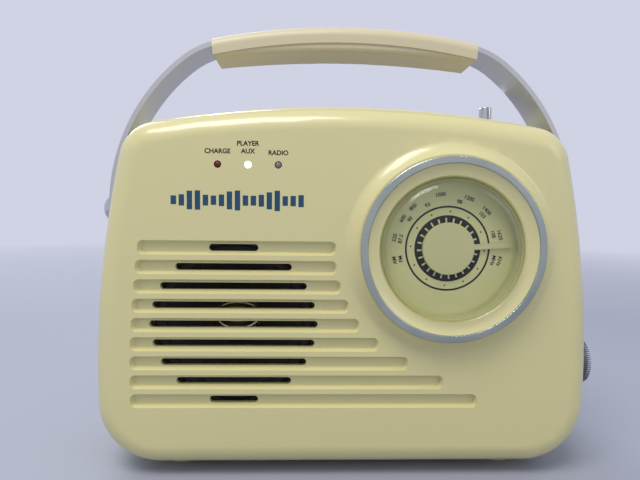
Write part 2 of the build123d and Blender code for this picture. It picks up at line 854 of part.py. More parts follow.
with BuildPart() as dust_cap:
    with BuildSketch(speaker_section):
        cap_y = edge_y + 9 * (surround_radius - 6 - dust_cap_radius) / (
            surround_radius - 6 - cone_neck_radius
        ) - 0.4
        cap_sphere = (dust_cap_radius**2 + dust_cap_height**2) / (2 * dust_cap_height)
        cap_centre = (0, cap_y - dust_cap_height + cap_sphere)
        cap_angle = degrees(asin(dust_cap_radius / cap_sphere))
        with BuildLine():
            front = CenterArc(cap_centre, cap_sphere, -90, cap_angle)
            back = CenterArc(cap_centre, cap_sphere - cone_thickness, -90, cap_angle)
            Line(front @ 0, back @ 0)
            Line(front @ 1, back @ 1)
        make_face()
    revolve(axis=speaker_axis)
finish(dust_cap, "dust_cap")

with BuildPart() as speaker_magnet:
    with BuildSketch(facing(basket_back_y + magnet_depth)):
        with Locations((grille_x, grille_z)):
            Circle(magnet_radius)
            Circle(coil_radius + coil_gap, mode=Mode.SUBTRACT)
    extrude(amount=magnet_depth)
    chamfer(speaker_magnet.edges().filter_by(GeomType.CIRCLE).sort_by(SortBy.RADIUS)[-2:], 0.6)
finish(speaker_magnet, "speaker_magnet")

with BuildPart() as speaker_yoke:
    with BuildSketch(facing(basket_back_y + magnet_depth + 2)):
        with Locations((grille_x, grille_z)):
            Circle(magnet_radius - 1)
    extrude(amount=2)
    with BuildSketch(facing(basket_back_y + magnet_depth)):
        with Locations((grille_x, grille_z)):
            Circle(coil_radius - 0.4 - coil_gap)
    extrude(amount=magnet_depth)
finish(speaker_yoke, "speaker_yoke")

# --- volume control ----------------------------------------------------------------------------

pot_radius = 8.5
pot_depth = 8.4
pot_bush_radius = 3.6
pot_bush_length = 6.0
knob_base_x = shell_side_x + 1.0
knob_shoulder_x = knob_base_x + knob_length - (
    knob_dome_radius - sqrt(knob_dome_radius**2 - knob_radius**2)
)
knob_grip = 8.6

with BuildPart() as volume_board:
    with BuildSketch(sideways(1, volume_board_x)):
        with Locations((volume_y, (volume_board_base_z + volume_z + pot_radius + 2) / 2)):
            Rectangle(
                volume_board_width - 1, volume_z + pot_radius + 2 - volume_board_base_z
            )
    extrude(amount=board)
finish(volume_board, "volume_board")

with BuildPart() as volume_pot:
    with BuildSketch(sideways(1, volume_board_x + board)):
        with Locations((volume_y, volume_z)):
            Circle(pot_radius)
    extrude(amount=pot_depth)
    with BuildSketch(sideways(1, volume_board_x + board + pot_depth)):
        with Locations((volume_y, volume_z)):
            Circle(pot_bush_radius)
    extrude(amount=pot_bush_length)
    with BuildSketch(sideways(1, volume_board_x + board + 1)):
        with Locations((volume_y, volume_z)):
            Circle(shaft_radius + run_clearance)
    extrude(amount=pot_depth + pot_bush_length, mode=Mode.SUBTRACT)
finish(volume_pot, "volume_pot")

with BuildPart() as volume_shaft:
    with BuildSketch(sideways(1, volume_board_x + board + 1 + gap)):
        with Locations((volume_y, volume_z)):
            Circle(shaft_radius)
    extrude(amount=knob_base_x + knob_grip - volume_board_x - board - 1 - gap)
finish(volume_shaft, "volume_shaft")

with BuildPart() as volume_knob:
    with BuildSketch(Plane(origin=(0, volume_y, volume_z), x_dir=(1, 0, 0), z_dir=(0, -1, 0))):
        with BuildLine():
            base = Line((knob_base_x, 0), (knob_base_x, knob_radius))
            rim = Line(base @ 1, (knob_shoulder_x, knob_radius))
            dome = RadiusArc(rim @ 1, (knob_base_x + knob_length, 0), knob_dome_radius)
            Line(dome @ 1, base @ 0)
        make_face()
        fillet(vertices().group_by(Axis.Y)[-1], 0.8)
    revolve(axis=Axis((0, volume_y, volume_z), (1, 0, 0)))
    with BuildSketch(sideways(1, knob_base_x)):
        with Locations((volume_y, volume_z)):
            Circle(shaft_radius)
    extrude(amount=knob_grip, mode=Mode.SUBTRACT)
finish(volume_knob, "volume_knob")

# --- buttons -----------------------------------------------------------------------------------

with BuildPart() as button_panel:
    add(top_strip(panel_length, panel_depth, cover_step - panel_sink, cover_step + panel_proud))
    with BuildSketch(Plane.XY.offset(widest_z)):
        with Locations(*[(x, 0) for x in button_x]):
            RectangleRounded(button_length + 2 * gap, button_depth + 2 * gap, 1 + gap)
    extrude(amount=cover_height, mode=Mode.SUBTRACT)
finish(button_panel, "button_panel")

for name, x in zip(button_names, button_x):
    flange_top_z = top_at(abs(x) + button_reach, ceiling_outset) - gap
    crown_z = top_at(x, cover_step + panel_proud) + button_proud
    with BuildPart() as button:
        with BuildSketch(Plane.XY.offset(flange_top_z - flange_thickness)):
            with Locations((x, 0)):
                RectangleRounded(button_length, button_depth, 1)
        extrude(amount=crown_z - flange_top_z + flange_thickness)
        fillet(button.edges().group_by(Axis.Z)[-1], 0.6)
        with BuildSketch(Plane.XY.offset(flange_top_z - flange_thickness)):
            with Locations((x, 0)):
                Rectangle(button_length + 2 * flange_margin, button_depth + 2 * flange_margin)
        extrude(amount=flange_thickness)
        with BuildSketch(Plane.XY.offset(switch_top_z + button_travel + gap)):
            with Locations((x, 0)):
                Circle(1.6)
        extrude(amount=flange_top_z - flange_thickness / 2 - switch_top_z - button_travel - gap)
    finish(button, f"button_{name}")

with BuildPart() as button_switches:
    with BuildSketch(Plane.XY.offset(button_board_top_z)):
        with Locations(*[(x, 0) for x in button_x]):
            RectangleRounded(6, 6, 0.5)
    extrude(amount=switch_height - 0.8)
    with BuildSketch(Plane.XY.offset(button_board_top_z + switch_height - 0.8)):
        with Locations(*[(x, 0) for x in button_x]):
            Circle(1.7)
    extrude(amount=0.8)
finish(button_switches, "button_switches")

with BuildPart() as button_board:
    with BuildSketch(Plane.XY.offset(button_board_top_z - board)):
        Rectangle(2 * button_board_x, panel_depth)
        with Locations((-button_post_x, 0), (button_post_x, 0)):
            Circle(screw_radius, mode=Mode.SUBTRACT)
    extrude(amount=board)
finish(button_board, "button_board")

# --- sockets on the back -----------------------------------------------------------------------

socket_front_y = back_y - 15.0
socket_face_y = back_y - 0.2
tongue = 1.8

with BuildPart() as socket_panel:
    with BuildSketch(facing(back_y)):
        with Locations((sum(socket_panel_x) / 2, base_z + sum(socket_panel_height) / 2)):
            RectangleRounded(
                socket_panel_x[1] - socket_panel_x[0],
                socket_panel_height[1] - socket_panel_height[0],
                2,
            )
        for x, (width, height) in socket_sizes.items():
            with Locations((x, socket_mid_z)):
                Rectangle(width + 2 * gap, height + 2 * gap, mode=Mode.SUBTRACT)
        with Locations((aux_x, socket_mid_z)):
            Circle(aux_barrel_radius + gap, mode=Mode.SUBTRACT)
    extrude(amount=panel_thickness)
finish(socket_panel, "socket_panel")

with BuildPart() as socket_board:
    with BuildSketch(Plane.XY.offset(socket_board_z - board)):
        with Locations((sum(socket_board_x) / 2, sum(socket_board_y) / 2)):
            Rectangle(socket_board_x[1] - socket_board_x[0], socket_board_y[1] - socket_board_y[0])
        with Locations(*socket_screw_points):
            Circle(screw_radius, mode=Mode.SUBTRACT)
    extrude(amount=board)
finish(socket_board, "socket_board")


def socket_body(x, foot_width):
    """Make a socket's body: the outline seen from the back, on a foot that stands on the board."""
    width, height = socket_sizes[x]
    with BuildPart() as body:
        with BuildSketch(facing(socket_face_y)):
            with Locations((x, socket_mid_z)):
                RectangleRounded(width, height, 0.4)
        extrude(amount=socket_face_y - socket_front_y)
        with BuildSketch(facing(socket_face_y - 2 * wall)):
            with Locations((x, (socket_board_z + socket_mid_z) / 2)):
                Rectangle(foot_width, socket_mid_z - socket_board_z)
        extrude(amount=socket_face_y - 2 * wall - socket_front_y)
    return body.part


def socket_mouth(x, width, height, depth):
    """Cut a socket's mouth to the given depth in the part in progress."""
    with BuildSketch(facing(socket_face_y)) as mouth:
        with Locations((x, socket_mid_z)):
            Rectangle(width, height)
    extrude(mouth.sketch, amount=depth, mode=Mode.SUBTRACT)


with BuildPart() as usb_socket:
    add(socket_body(usb_x, socket_sizes[usb_x][0]))
    socket_mouth(usb_x, 12.4, 5.0, 12)
    with BuildSketch(facing(socket_face_y - 1.5)):
        with Locations((usb_x, socket_mid_z + 1)):
            Rectangle(11, tongue)
    extrude(amount=11)
finish(usb_socket, "usb_socket")

with BuildPart() as card_socket:
    add(socket_body(card_x, socket_sizes[card_x][0]))
    socket_mouth(card_x, 11.4, 1.2, 13)
finish(card_socket, "card_socket")

with BuildPart() as power_socket:
    add(socket_body(power_x, socket_sizes[power_x][0]))
    socket_mouth(power_x, 8.2, 2.6, 7)
    with BuildSketch(facing(socket_face_y - 1)):
        with Locations((power_x, socket_mid_z)):
            Rectangle(6.6, 0.7)
    extrude(amount=7)
finish(power_socket, "power_socket")

with BuildPart() as aux_jack:
    with BuildSketch(facing(socket_face_y - wall)):
        with Locations((aux_x, socket_mid_z)):
            Rectangle(7, 2 * (socket_mid_z - socket_board_z))
    extrude(amount=12)
    with BuildSketch(facing(socket_face_y)):
        with Locations((aux_x, socket_mid_z)):
            Circle(aux_barrel_radius)
    extrude(amount=wall)
    with BuildSketch(facing(socket_face_y)):
        with Locations((aux_x, socket_mid_z)):
            Circle(aux_radius)
    extrude(amount=aux_depth, mode=Mode.SUBTRACT)
finish(aux_jack, "aux_jack")

lever_width = band_slot[0] - band_slider_travel - 2 * gap
lever_height = band_slot[1] - 2 * gap
switch_case_y = cavity_back_y - 0.2
with BuildPart() as band_switch:
    with BuildSketch(facing(switch_case_y)):
        with Locations((band_slider_x, socket_mid_z)):
            Rectangle(band_slot[0] + 4, 2 * (socket_mid_z - socket_board_z))
    extrude(amount=7)
    with BuildSketch(facing(switch_case_y)):
        with Locations((band_slider_x, socket_mid_z)):
            Rectangle(*band_slot)
    extrude(amount=4, mode=Mode.SUBTRACT)
finish(band_switch, "band_switch")

with BuildPart() as band_slider:
    with BuildSketch(facing(back_y + 1.4)):
        with Locations((band_slider_x - band_slider_travel / 2, socket_mid_z)):
            Rectangle(lever_width, lever_height)
    extrude(amount=back_y + 1.4 - switch_case_y + 4 - gap)
    fillet(band_slider.faces().sort_by(Axis.Y)[-1].edges(), 0.4)
finish(band_slider, "band_slider")

# --- battery bay -------------------------------------------------------------------------------

cell_y = bay_floor_y + cell_radius + 0.4

with BuildPart() as battery_cell:
    with BuildSketch(sideways(1, bay_x - cell_length / 2)):
        with Locations((cell_y, bay_z)):
            Circle(cell_radius)
    extrude(amount=cell_length)
    fillet(battery_cell.edges().filter_by(GeomType.CIRCLE), 0.6)
    with BuildSketch(sideways(1, bay_x + cell_length / 2)):
        with Locations((cell_y, bay_z)):
            Circle(cell_button_radius)
    extrude(amount=cell_button)
finish(battery_cell, "battery_cell")

with BuildPart() as battery_contacts:
    for side, reach in ((-1, 0), (1, cell_button)):
        plate_x = side * (cell_length / 2 + reach)
        end_x = side * (bay_length / 2)
        with BuildSketch(facing(cell_y + 6)):
            with Locations((bay_x + end_x - side * contact_plate / 2, bay_z)):
                Rectangle(contact_plate, 16)
        extrude(amount=12)
        with BuildSketch(facing(cell_y + 2)):
            with Locations((bay_x + (plate_x + end_x) / 2, bay_z)):
                Rectangle(abs(end_x - plate_x), 3)
        extrude(amount=4)
finish(battery_contacts, "battery_contacts")

with BuildPart() as battery_door:
    with BuildSketch(facing(back_y)):
        with Locations((bay_x, bay_z)):
            RectangleRounded(
                bay_length + 2 * door_ledge - 2 * gap, bay_opening + 2 * door_ledge - 2 * gap, 2.2
            )
    extrude(amount=door_thickness)
    with BuildSketch(facing(back_y - door_thickness)):
        with Locations((bay_x, bay_z)):
            Rectangle(bay_length - 2 * gap, bay_opening - 2 * gap)
            Rectangle(bay_length - 2 * gap - 3, bay_opening - 2 * gap - 3, mode=Mode.SUBTRACT)
    extrude(amount=door_lip)
    with BuildSketch(facing(back_y)):
        with Locations((bay_x + bay_length / 2 - 8, bay_z)):
            SlotOverall(14, 3, rotation=90)
    extrude(amount=0.6, mode=Mode.SUBTRACT)
finish(battery_door, "battery_door")

# --- ferrite aerial ----------------------------------------------------------------------------

with BuildPart() as ferrite_rod:
    with BuildSketch(sideways(1, -rod_half_length)):
        with Locations((rod_y, rod_z)):
            Circle(rod_radius)
    extrude(amount=2 * rod_half_length)
finish(ferrite_rod, "ferrite_rod")

with BuildPart() as ferrite_coil:
    with BuildSketch(sideways(1, -rod_coil_length / 2)):
        with Locations((rod_y, rod_z)):
            Circle(rod_radius + 1.2)
            Circle(rod_radius, mode=Mode.SUBTRACT)
    extrude(amount=rod_coil_length)
finish(ferrite_coil, "ferrite_coil")

# --- telescopic antenna ------------------------------------------------------------------------

antenna_top_z = base_z + antenna_tube_top
collar_z = top_at(antenna_x - antenna_hole_radius, cover_step) + 1.6


def draw_tube(bottom_z, outer, inner):
    """Draw a ring on the antenna's axis at height bottom_z."""
    with BuildSketch(Plane.XY.offset(bottom_z)) as ring:
        with Locations((antenna_x, antenna_y)):
            Circle(outer)
            Circle(inner, mode=Mode.SUBTRACT)
    return ring.sketch


with BuildPart() as antenna_collar:
    extrude(draw_tube(collar_z - 6, antenna_hole_radius, antenna_radius), amount=6)
    fillet(antenna_collar.edges().group_by(Axis.Z)[-1].sort_by(SortBy.RADIUS)[-1], 0.5)
finish(antenna_collar, "antenna_collar")

with BuildPart() as antenna_tube:
    extrude(
        draw_tube(antenna_bottom_z, antenna_radius, antenna_radius - antenna_step),
        amount=antenna_top_z - antenna_bottom_z,
    )
finish(antenna_tube, "antenna_tube")

for number in range(1, antenna_sections + 1):
    outer = antenna_radius - number * antenna_step - run_clearance
    inner = antenna_radius - (number + 1) * antenna_step
    bottom_z = antenna_bottom_z + 2 * number
    with BuildPart() as section:
        extrude(draw_tube(bottom_z, outer, inner), amount=antenna_top_z - bottom_z)
    finish(section, f"antenna_section_{number}")

with BuildPart() as antenna_tip:
    tip_bottom_z = antenna_bottom_z + 2 * (antenna_sections + 1)
    rod_tip_radius = antenna_radius - (antenna_sections + 1) * antenna_step - run_clearance
    with BuildSketch(Plane.XY.offset(tip_bottom_z)):
        with Locations((antenna_x, antenna_y)):
            Circle(rod_tip_radius)
    extrude(amount=antenna_top_z + gap - tip_bottom_z)
    with BuildSketch(Plane.XY.offset(antenna_top_z + gap)):
        with Locations((antenna_x, antenna_y)):
            Circle(antenna_cap_radius)
    extrude(amount=antenna_cap_height)
    fillet(antenna_tip.edges().group_by(Axis.Z)[-1], 1.2)
finish(antenna_tip, "antenna_tip")

# --- handle ------------------------------------------------------------------------------------

crown_half_angle = degrees(
    asin(
        (
            half_span
            - bend_radius * (1 - cos(radians(bend_angle)))
            - shoulder_radius * cos(radians(bend_angle))
        )
        / (crown_radius - shoulder_radius)
    )
)
shoulder_angle = 90 - bend_angle - crown_half_angle
band_end_z = pivot_z - band_width / 2


def draw_handle(inset):
    """Draw the line of the handle from end to end, set in by inset, and close it at the bottom."""
    start = (half_span - inset, band_end_z)
    riser = Line(start, (half_span - inset, pivot_z))
    bend = JernArc(riser @ 1, riser % 1, bend_radius - inset, bend_angle)
    shoulder = JernArc(bend @ 1, bend % 1, shoulder_radius - inset, shoulder_angle)
    crown = JernArc(shoulder @ 1, shoulder % 1, crown_radius - inset, 2 * crown_half_angle)
    far_shoulder = JernArc(crown @ 1, crown % 1, shoulder_radius - inset, shoulder_angle)
    far_bend = JernArc(far_shoulder @ 1, far_shoulder % 1, bend_radius - inset, bend_angle)
    far_riser = Line(far_bend @ 1, (inset - half_span, band_end_z))
    Line(far_riser @ 1, start)
    return crown


with BuildPart() as handle_band:
    with BuildSketch(facing(band_width / 2)):
        with BuildLine():
            crown = draw_handle(0)
        make_face()
        with BuildLine():
            draw_handle(band_thickness)
        make_face(mode=Mode.SUBTRACT)
    extrude(amount=band_width)
    fillet(handle_band.edges().filter_by(Axis.X).group_by(Axis.Z)[0], band_width / 2 - 0.2)
    with BuildSketch(sideways(1, -half_span - 1)):
        with Locations((0, pivot_z)):
            Circle(pivot_radius + run_clearance)
    extrude(amount=2 * half_span + 2, mode=Mode.SUBTRACT)
finish(handle_band, "handle_band")

crown_top_z = (crown @ 0.5).Y
grip_top_z = crown_top_z + grip_over
grip_radius = crown_radius + grip_over
seam_z = grip_top_z - grip_top_thickness
seam_radius = grip_radius - grip_top_thickness
grip_bottom_z = seam_z - grip_base_thickness


def draw_grip(upper_z, lower_z, upper_half, lower_half, lower_radius):
    """Draw the grip's front view: its upper arc follows the handle, its lower arc may be flatter."""
    upper_radius = grip_radius - (grip_top_z - upper_z)
    upper_drop = upper_radius - sqrt(upper_radius**2 - upper_half**2)
    lower_drop = lower_radius - sqrt(lower_radius**2 - lower_half**2)
    upper = ThreePointArc(
        (-upper_half, upper_z - upper_drop), (0, upper_z), (upper_half, upper_z - upper_drop)
    )
    lower = ThreePointArc(
        (lower_half, lower_z - lower_drop), (0, lower_z), (-lower_half, lower_z - lower_drop)
    )
    Line(upper @ 1, lower @ 0)
    Line(lower @ 1, upper @ 0)


with BuildPart() as handle_space:
    with BuildSketch(facing(band_width / 2)):
        with BuildLine():
            draw_handle(0)
        make_face()
        with BuildLine():
            draw_handle(band_thickness)
        make_face(mode=Mode.SUBTRACT)
    extrude(amount=band_width)

with BuildPart() as grip_top:
    with BuildSketch(facing(grip_width / 2)):
        with BuildLine():
            draw_grip(
                grip_top_z, seam_z, grip_half_length, grip_half_length - 1, seam_radius
            )
        make_face()
    extrude(amount=grip_width)
    long_edges = grip_top.faces().sort_by(Axis.Z)[-1].edges()
    fillet(long_edges.filter_by(GeomType.CIRCLE), 5.5)
    add(handle_space.part, mode=Mode.SUBTRACT)
finish(grip_top, "grip_top")

with BuildPart() as grip_base:
    with BuildSketch(facing(grip_width / 2 - grip_base_step)):
        with BuildLine():
            draw_grip(
                seam_z,
                grip_bottom_z,
                grip_half_length - 1 - grip_base_step,
                grip_half_length - 1 - grip_end_slant,
                grip_base_radius,
            )
        make_face()
    extrude(amount=grip_width - 2 * grip_base_step)
    lower_edges = grip_base.faces().filter_by(GeomType.CYLINDER).sort_by(Axis.Z)[0].edges()
    fillet(lower_edges.filter_by(GeomType.CIRCLE), 2.4)
    add(handle_space.part, mode=Mode.SUBTRACT)
finish(grip_base, "grip_base")

pivot_nut_x = half_width(pivot_z) - 3 * wall
with BuildPart() as pivot_washers:
    for side in (-1, 1):
        with BuildSketch(sideways(side, boss_face_x)):
            with Locations((0, pivot_z)):
                Circle(pivot_boss_radius - 0.5)
                Circle(pivot_radius, mode=Mode.SUBTRACT)
        extrude(amount=washer_thickness)
finish(pivot_washers, "pivot_washers")

with BuildPart() as pivot_screws:
    cap_sphere = (pivot_cap_radius**2 + pivot_cap_height**2) / (2 * pivot_cap_height)
    for side in (-1, 1):
        with BuildSketch(sideways(side, pivot_nut_x - 4)):
            with Locations((0, pivot_z)):
                Circle(pivot_radius)
        extrude(amount=half_span + gap - pivot_nut_x + 4)
        with BuildSketch(Plane(origin=(0, 0, pivot_z), x_dir=(side, 0, 0), z_dir=(0, -side, 0))):
            with BuildLine():
                seat = Line((half_span + gap, 0), (half_span + gap, pivot_cap_radius))
                edge = Line(seat @ 1, seat @ 1 + Vector(0.6, 0))
                cap = ThreePointArc(
                    edge @ 1,
                    (
                        half_span + gap + pivot_cap_height + 0.6 - cap_sphere
                        + sqrt(cap_sphere**2 - (pivot_cap_radius / 2) ** 2),
                        pivot_cap_radius / 2,
                    ),
                    (half_span + gap + pivot_cap_height + 0.6, 0),
                )
                Line(cap @ 1, seat @ 0)
            make_face()
        revolve(axis=Axis((0, 0, pivot_z), (1, 0, 0)))
finish(pivot_screws, "pivot_screws")

with BuildPart() as pivot_nuts:
    for side in (-1, 1):
        with BuildSketch(sideways(side, pivot_nut_x - 2.4)):
            with Locations((0, pivot_z)):
                RegularPolygon(5.5, 6)
                Circle(pivot_radius, mode=Mode.SUBTRACT)
        extrude(amount=2.4)
finish(pivot_nuts, "pivot_nuts")

# --- small screws for the circuit boards and the loudspeaker -----------------------------------

speaker_screw_reach = speaker_screw_circle / sqrt(2)
speaker_screw_points = [
    (grille_x + across * speaker_screw_reach, grille_z + up * speaker_screw_reach)
    for across in (-1, 1)
    for up in (-1, 1)
]
board_grip = board + 4.0
speaker_grip = speaker_flange + gasket + 1.8

with BuildPart() as board_screws:
    for plane, points, grip in (
        (facing(main_board_back_y), main_board_screws, board_grip),
        (facing(lamp_board_front_y + board), lamp_board_screws, board_grip),
        (facing(flange_back_y), speaker_screw_points, speaker_grip),
        (Plane.XY.offset(socket_board_z), socket_screw_points, -board_grip),
        (
            Plane.XY.offset(button_board_top_z - board),
            ((-button_post_x, 0), (button_post_x, 0)),
            board_grip,
        ),
    ):
        with BuildSketch(plane):
            with Locations(*points):
                Circle(screw_radius)
        extrude(amount=grip)
        with BuildSketch(plane):
            with Locations(*points):
                Circle(screw_head_radius)
        extrude(amount=-screw_head if grip > 0 else screw_head)
finish(board_screws, "board_screws")
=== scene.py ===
from math import cos, pi, radians, sin

import bmesh
import bpy
from mathutils import Matrix, Vector


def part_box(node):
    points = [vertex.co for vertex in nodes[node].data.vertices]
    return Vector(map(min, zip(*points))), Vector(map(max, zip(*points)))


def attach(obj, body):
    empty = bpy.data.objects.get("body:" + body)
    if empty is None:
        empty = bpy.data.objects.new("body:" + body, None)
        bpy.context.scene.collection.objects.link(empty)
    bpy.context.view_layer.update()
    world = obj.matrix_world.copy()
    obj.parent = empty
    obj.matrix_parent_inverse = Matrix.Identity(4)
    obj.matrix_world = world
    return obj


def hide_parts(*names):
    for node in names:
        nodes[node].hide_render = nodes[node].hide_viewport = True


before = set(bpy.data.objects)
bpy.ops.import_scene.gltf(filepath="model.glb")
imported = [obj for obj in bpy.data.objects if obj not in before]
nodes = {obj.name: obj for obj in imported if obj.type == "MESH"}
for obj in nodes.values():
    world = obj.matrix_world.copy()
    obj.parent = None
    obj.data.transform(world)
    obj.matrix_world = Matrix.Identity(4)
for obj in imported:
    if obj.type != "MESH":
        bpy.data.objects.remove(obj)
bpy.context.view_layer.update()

scene = bpy.context.scene

# --- studio ------------------------------------------------------------------------------------
# A pale floor that fades into a bluish white sky, a large soft light above the front left and a
# weaker one on the right. The camera stands a little in front of the case, left of its middle.

floor_size = 6.0
floor_tone = (0.33, 0.35, 0.41)
floor_dull = (0.305, 0.325, 0.385)
fade_start = 0.45
fade_end = 1.60

floor_mesh = bpy.data.meshes.new("studio_floor")
half = floor_size / 2
floor_mesh.from_pydata(
    [(-half, -half, 0), (half, -half, 0), (half, half, 0), (-half, half, 0)], [], [(0, 1, 2, 3)]
)
studio_floor = bpy.data.objects.new("studio_floor", floor_mesh)
scene.collection.objects.link(studio_floor)
floor_paper = bpy.data.materials.new("floor_paper")
floor_paper.use_nodes = True
paper_links = floor_paper.node_tree.links
paper_nodes = floor_paper.node_tree.nodes
paper_place = paper_nodes.new("ShaderNodeTexCoord")
paper_cloud = paper_nodes.new("ShaderNodeTexNoise")
paper_cloud.inputs["Scale"].default_value = 3.0
paper_mix = paper_nodes.new("ShaderNodeMix")
paper_mix.data_type = "RGBA"
paper_mix.inputs["A"].default_value = (*floor_tone, 1)
paper_mix.inputs["B"].default_value = (*floor_dull, 1)
paper_links.new(paper_place.outputs["Object"], paper_cloud.inputs["Vector"])
paper_links.new(paper_cloud.outputs["Fac"], paper_mix.inputs["Factor"])
paper_skin = paper_nodes["Principled BSDF"]
paper_skin.inputs["Roughness"].default_value = 0.65
paper_links.new(paper_mix.outputs["Result"], paper_skin.inputs["Base Color"])
paper_reach = paper_nodes.new("ShaderNodeVectorMath")
paper_reach.operation = "LENGTH"
paper_fade = paper_nodes.new("ShaderNodeMapRange")
for name, value in (
    ("From Min", fade_start), ("From Max", fade_end), ("To Min", 1.0), ("To Max", 0.0)
):
    paper_fade.inputs[name].default_value = value
paper_links.new(paper_place.outputs["Object"], paper_reach.inputs[0])
paper_links.new(paper_reach.outputs["Value"], paper_fade.inputs["Value"])
paper_links.new(paper_fade.outputs["Result"], paper_skin.inputs["Alpha"])
floor_mesh.materials.append(floor_paper)

sky_colour = (0.70, 0.72, 0.86, 1)
sky_strength = 0.90
sky = bpy.data.worlds.new("studio_sky")
sky.use_nodes = True
sky.node_tree.nodes["Background"].inputs["Color"].default_value = sky_colour
sky.node_tree.nodes["Background"].inputs["Strength"].default_value = sky_strength
scene.world = sky


def softbox(name, place, target, width, height, power, tint):
    """A rectangular lamp at place, turned towards target."""
    lamp = bpy.data.lights.new(name, "AREA")
    lamp.shape = "RECTANGLE"
    lamp.size = width
    lamp.size_y = height
    lamp.energy = power
    lamp.color = tint
    holder = bpy.data.objects.new(name, lamp)
    holder.location = place
    holder.rotation_euler = (Vector(target) - Vector(place)).to_track_quat("-Z", "Y").to_euler()
    scene.collection.objects.link(holder)


softbox("key_light", (-0.30, -0.55, 1.25), (0, 0, 0.1), 0.7, 0.5, 11.0, (1.0, 0.97, 0.92))
softbox("fill_light", (1.1, -0.8, 0.7), (0, 0, 0.1), 0.6, 0.6, 1.6, (0.88, 0.94, 1.0))
softbox("rear_light", (-0.6, 1.1, 1.0), (0, 0, 0.1), 0.9, 0.7, 7.0, (0.95, 0.97, 1.0))

camera_lens = bpy.data.cameras.new("camera")
camera_lens.sensor_width = 36.0
camera_lens.lens = 27.06
camera_lens.clip_start = 0.01
camera = bpy.data.objects.new("camera", camera_lens)
camera.location = (-0.0191, -0.2593, 0.1309)
camera.rotation_euler = (radians(86.08), radians(-0.619), radians(-1.608))
scene.collection.objects.link(camera)
scene.camera = camera
scene.view_settings.view_transform = "Standard"

# --- case --------------------------------------------------------------------------------------
# Front cover and rear shell, injection-moulded in glossy cream plastic, with four matt pads for
# feet. They close on a stepped parting line and are held by four long screws from the back.


def finish_of(name, shade, drift, gloss, relief, cloud=18.0, grain=900.0, stretch=(1, 1, 1), **same):
    """A finish whose colour drifts between two shades, with gloss and relief from a fine grain."""
    material = bpy.data.materials.new(name)
    material.use_nodes = True
    tree = material.node_tree
    skin = tree.nodes["Principled BSDF"]
    place = tree.nodes.new("ShaderNodeTexCoord")
    turn = tree.nodes.new("ShaderNodeMapping")
    turn.inputs["Scale"].default_value = stretch
    tree.links.new(place.outputs["Object"], turn.inputs["Vector"])
    clouds = tree.nodes.new("ShaderNodeTexNoise")
    clouds.inputs["Scale"].default_value = cloud
    clouds.inputs["Detail"].default_value = 3.0
    fine = tree.nodes.new("ShaderNodeTexNoise")
    fine.inputs["Scale"].default_value = grain
    fine.inputs["Detail"].default_value = 2.0
    for texture in (clouds, fine):
        tree.links.new(turn.outputs["Vector"], texture.inputs["Vector"])
    mix = tree.nodes.new("ShaderNodeMix")
    mix.data_type = "RGBA"
    mix.inputs["A"].default_value = (*shade, 1)
    mix.inputs["B"].default_value = (*drift, 1)
    tree.links.new(clouds.outputs["Fac"], mix.inputs["Factor"])
    tree.links.new(mix.outputs["Result"], skin.inputs["Base Color"])
    polish = tree.nodes.new("ShaderNodeMapRange")
    polish.inputs["To Min"].default_value = gloss[0]
    polish.inputs["To Max"].default_value = gloss[1]
    tree.links.new(fine.outputs["Fac"], polish.inputs["Value"])
    tree.links.new(polish.outputs["Result"], skin.inputs["Roughness"])
    bump = tree.nodes.new("ShaderNodeBump")
    bump.inputs["Distance"].default_value = relief
    bump.inputs["Strength"].default_value = 0.6
    tree.links.new(fine.outputs["Fac"], bump.inputs["Height"])
    tree.links.new(bump.outputs["Normal"], skin.inputs["Normal"])
    for socket, value in same.items():
        skin.inputs[socket.replace("_", " ")].default_value = value
    return material


soften = bpy.data.node_groups.new("smooth_by_angle", "GeometryNodeTree")
soften.interface.new_socket("Geometry", in_out="INPUT", socket_type="NodeSocketGeometry")
soften.interface.new_socket("Geometry", in_out="OUTPUT", socket_type="NodeSocketGeometry")
soften_in = soften.nodes.new("NodeGroupInput")
soften_out = soften.nodes.new("NodeGroupOutput")
soften_join = soften.nodes.new("GeometryNodeMergeByDistance")
soften_join.inputs["Distance"].default_value = 1e-6
soften_faces = soften.nodes.new("GeometryNodeSetShadeSmooth")
soften_edges = soften.nodes.new("GeometryNodeSetShadeSmooth")
soften_edges.domain = "EDGE"
soften_angle = soften.nodes.new("GeometryNodeInputMeshEdgeAngle")
soften_test = soften.nodes.new("FunctionNodeCompare")
soften_test.operation = "LESS_THAN"
soften_test.inputs["B"].default_value = radians(28)
soften.links.new(soften_in.outputs["Geometry"], soften_join.inputs["Geometry"])
soften.links.new(soften_join.outputs["Geometry"], soften_faces.inputs["Geometry"])
soften.links.new(soften_faces.outputs["Geometry"], soften_edges.inputs["Geometry"])
soften.links.new(soften_angle.outputs["Unsigned Angle"], soften_test.inputs["A"])
soften.links.new(soften_test.outputs["Result"], soften_edges.inputs["Shade Smooth"])
soften.links.new(soften_edges.outputs["Geometry"], soften_out.inputs["Geometry"])


def soft_shade(piece):
    """Smooth shading over gentle edges, with flat faces kept flat."""
    piece.modifiers.new("smooth_by_angle", "NODES").node_group = soften
    flats = piece.modifiers.new("flat_faces", "WEIGHTED_NORMAL")
    flats.keep_sharp = True


def dress(material, *names):
    """Give CAD nodes their finish and smooth shading."""
    for name in names:
        for holder in nodes[name].material_slots:
            holder.material = material
        soft_shade(nodes[name])


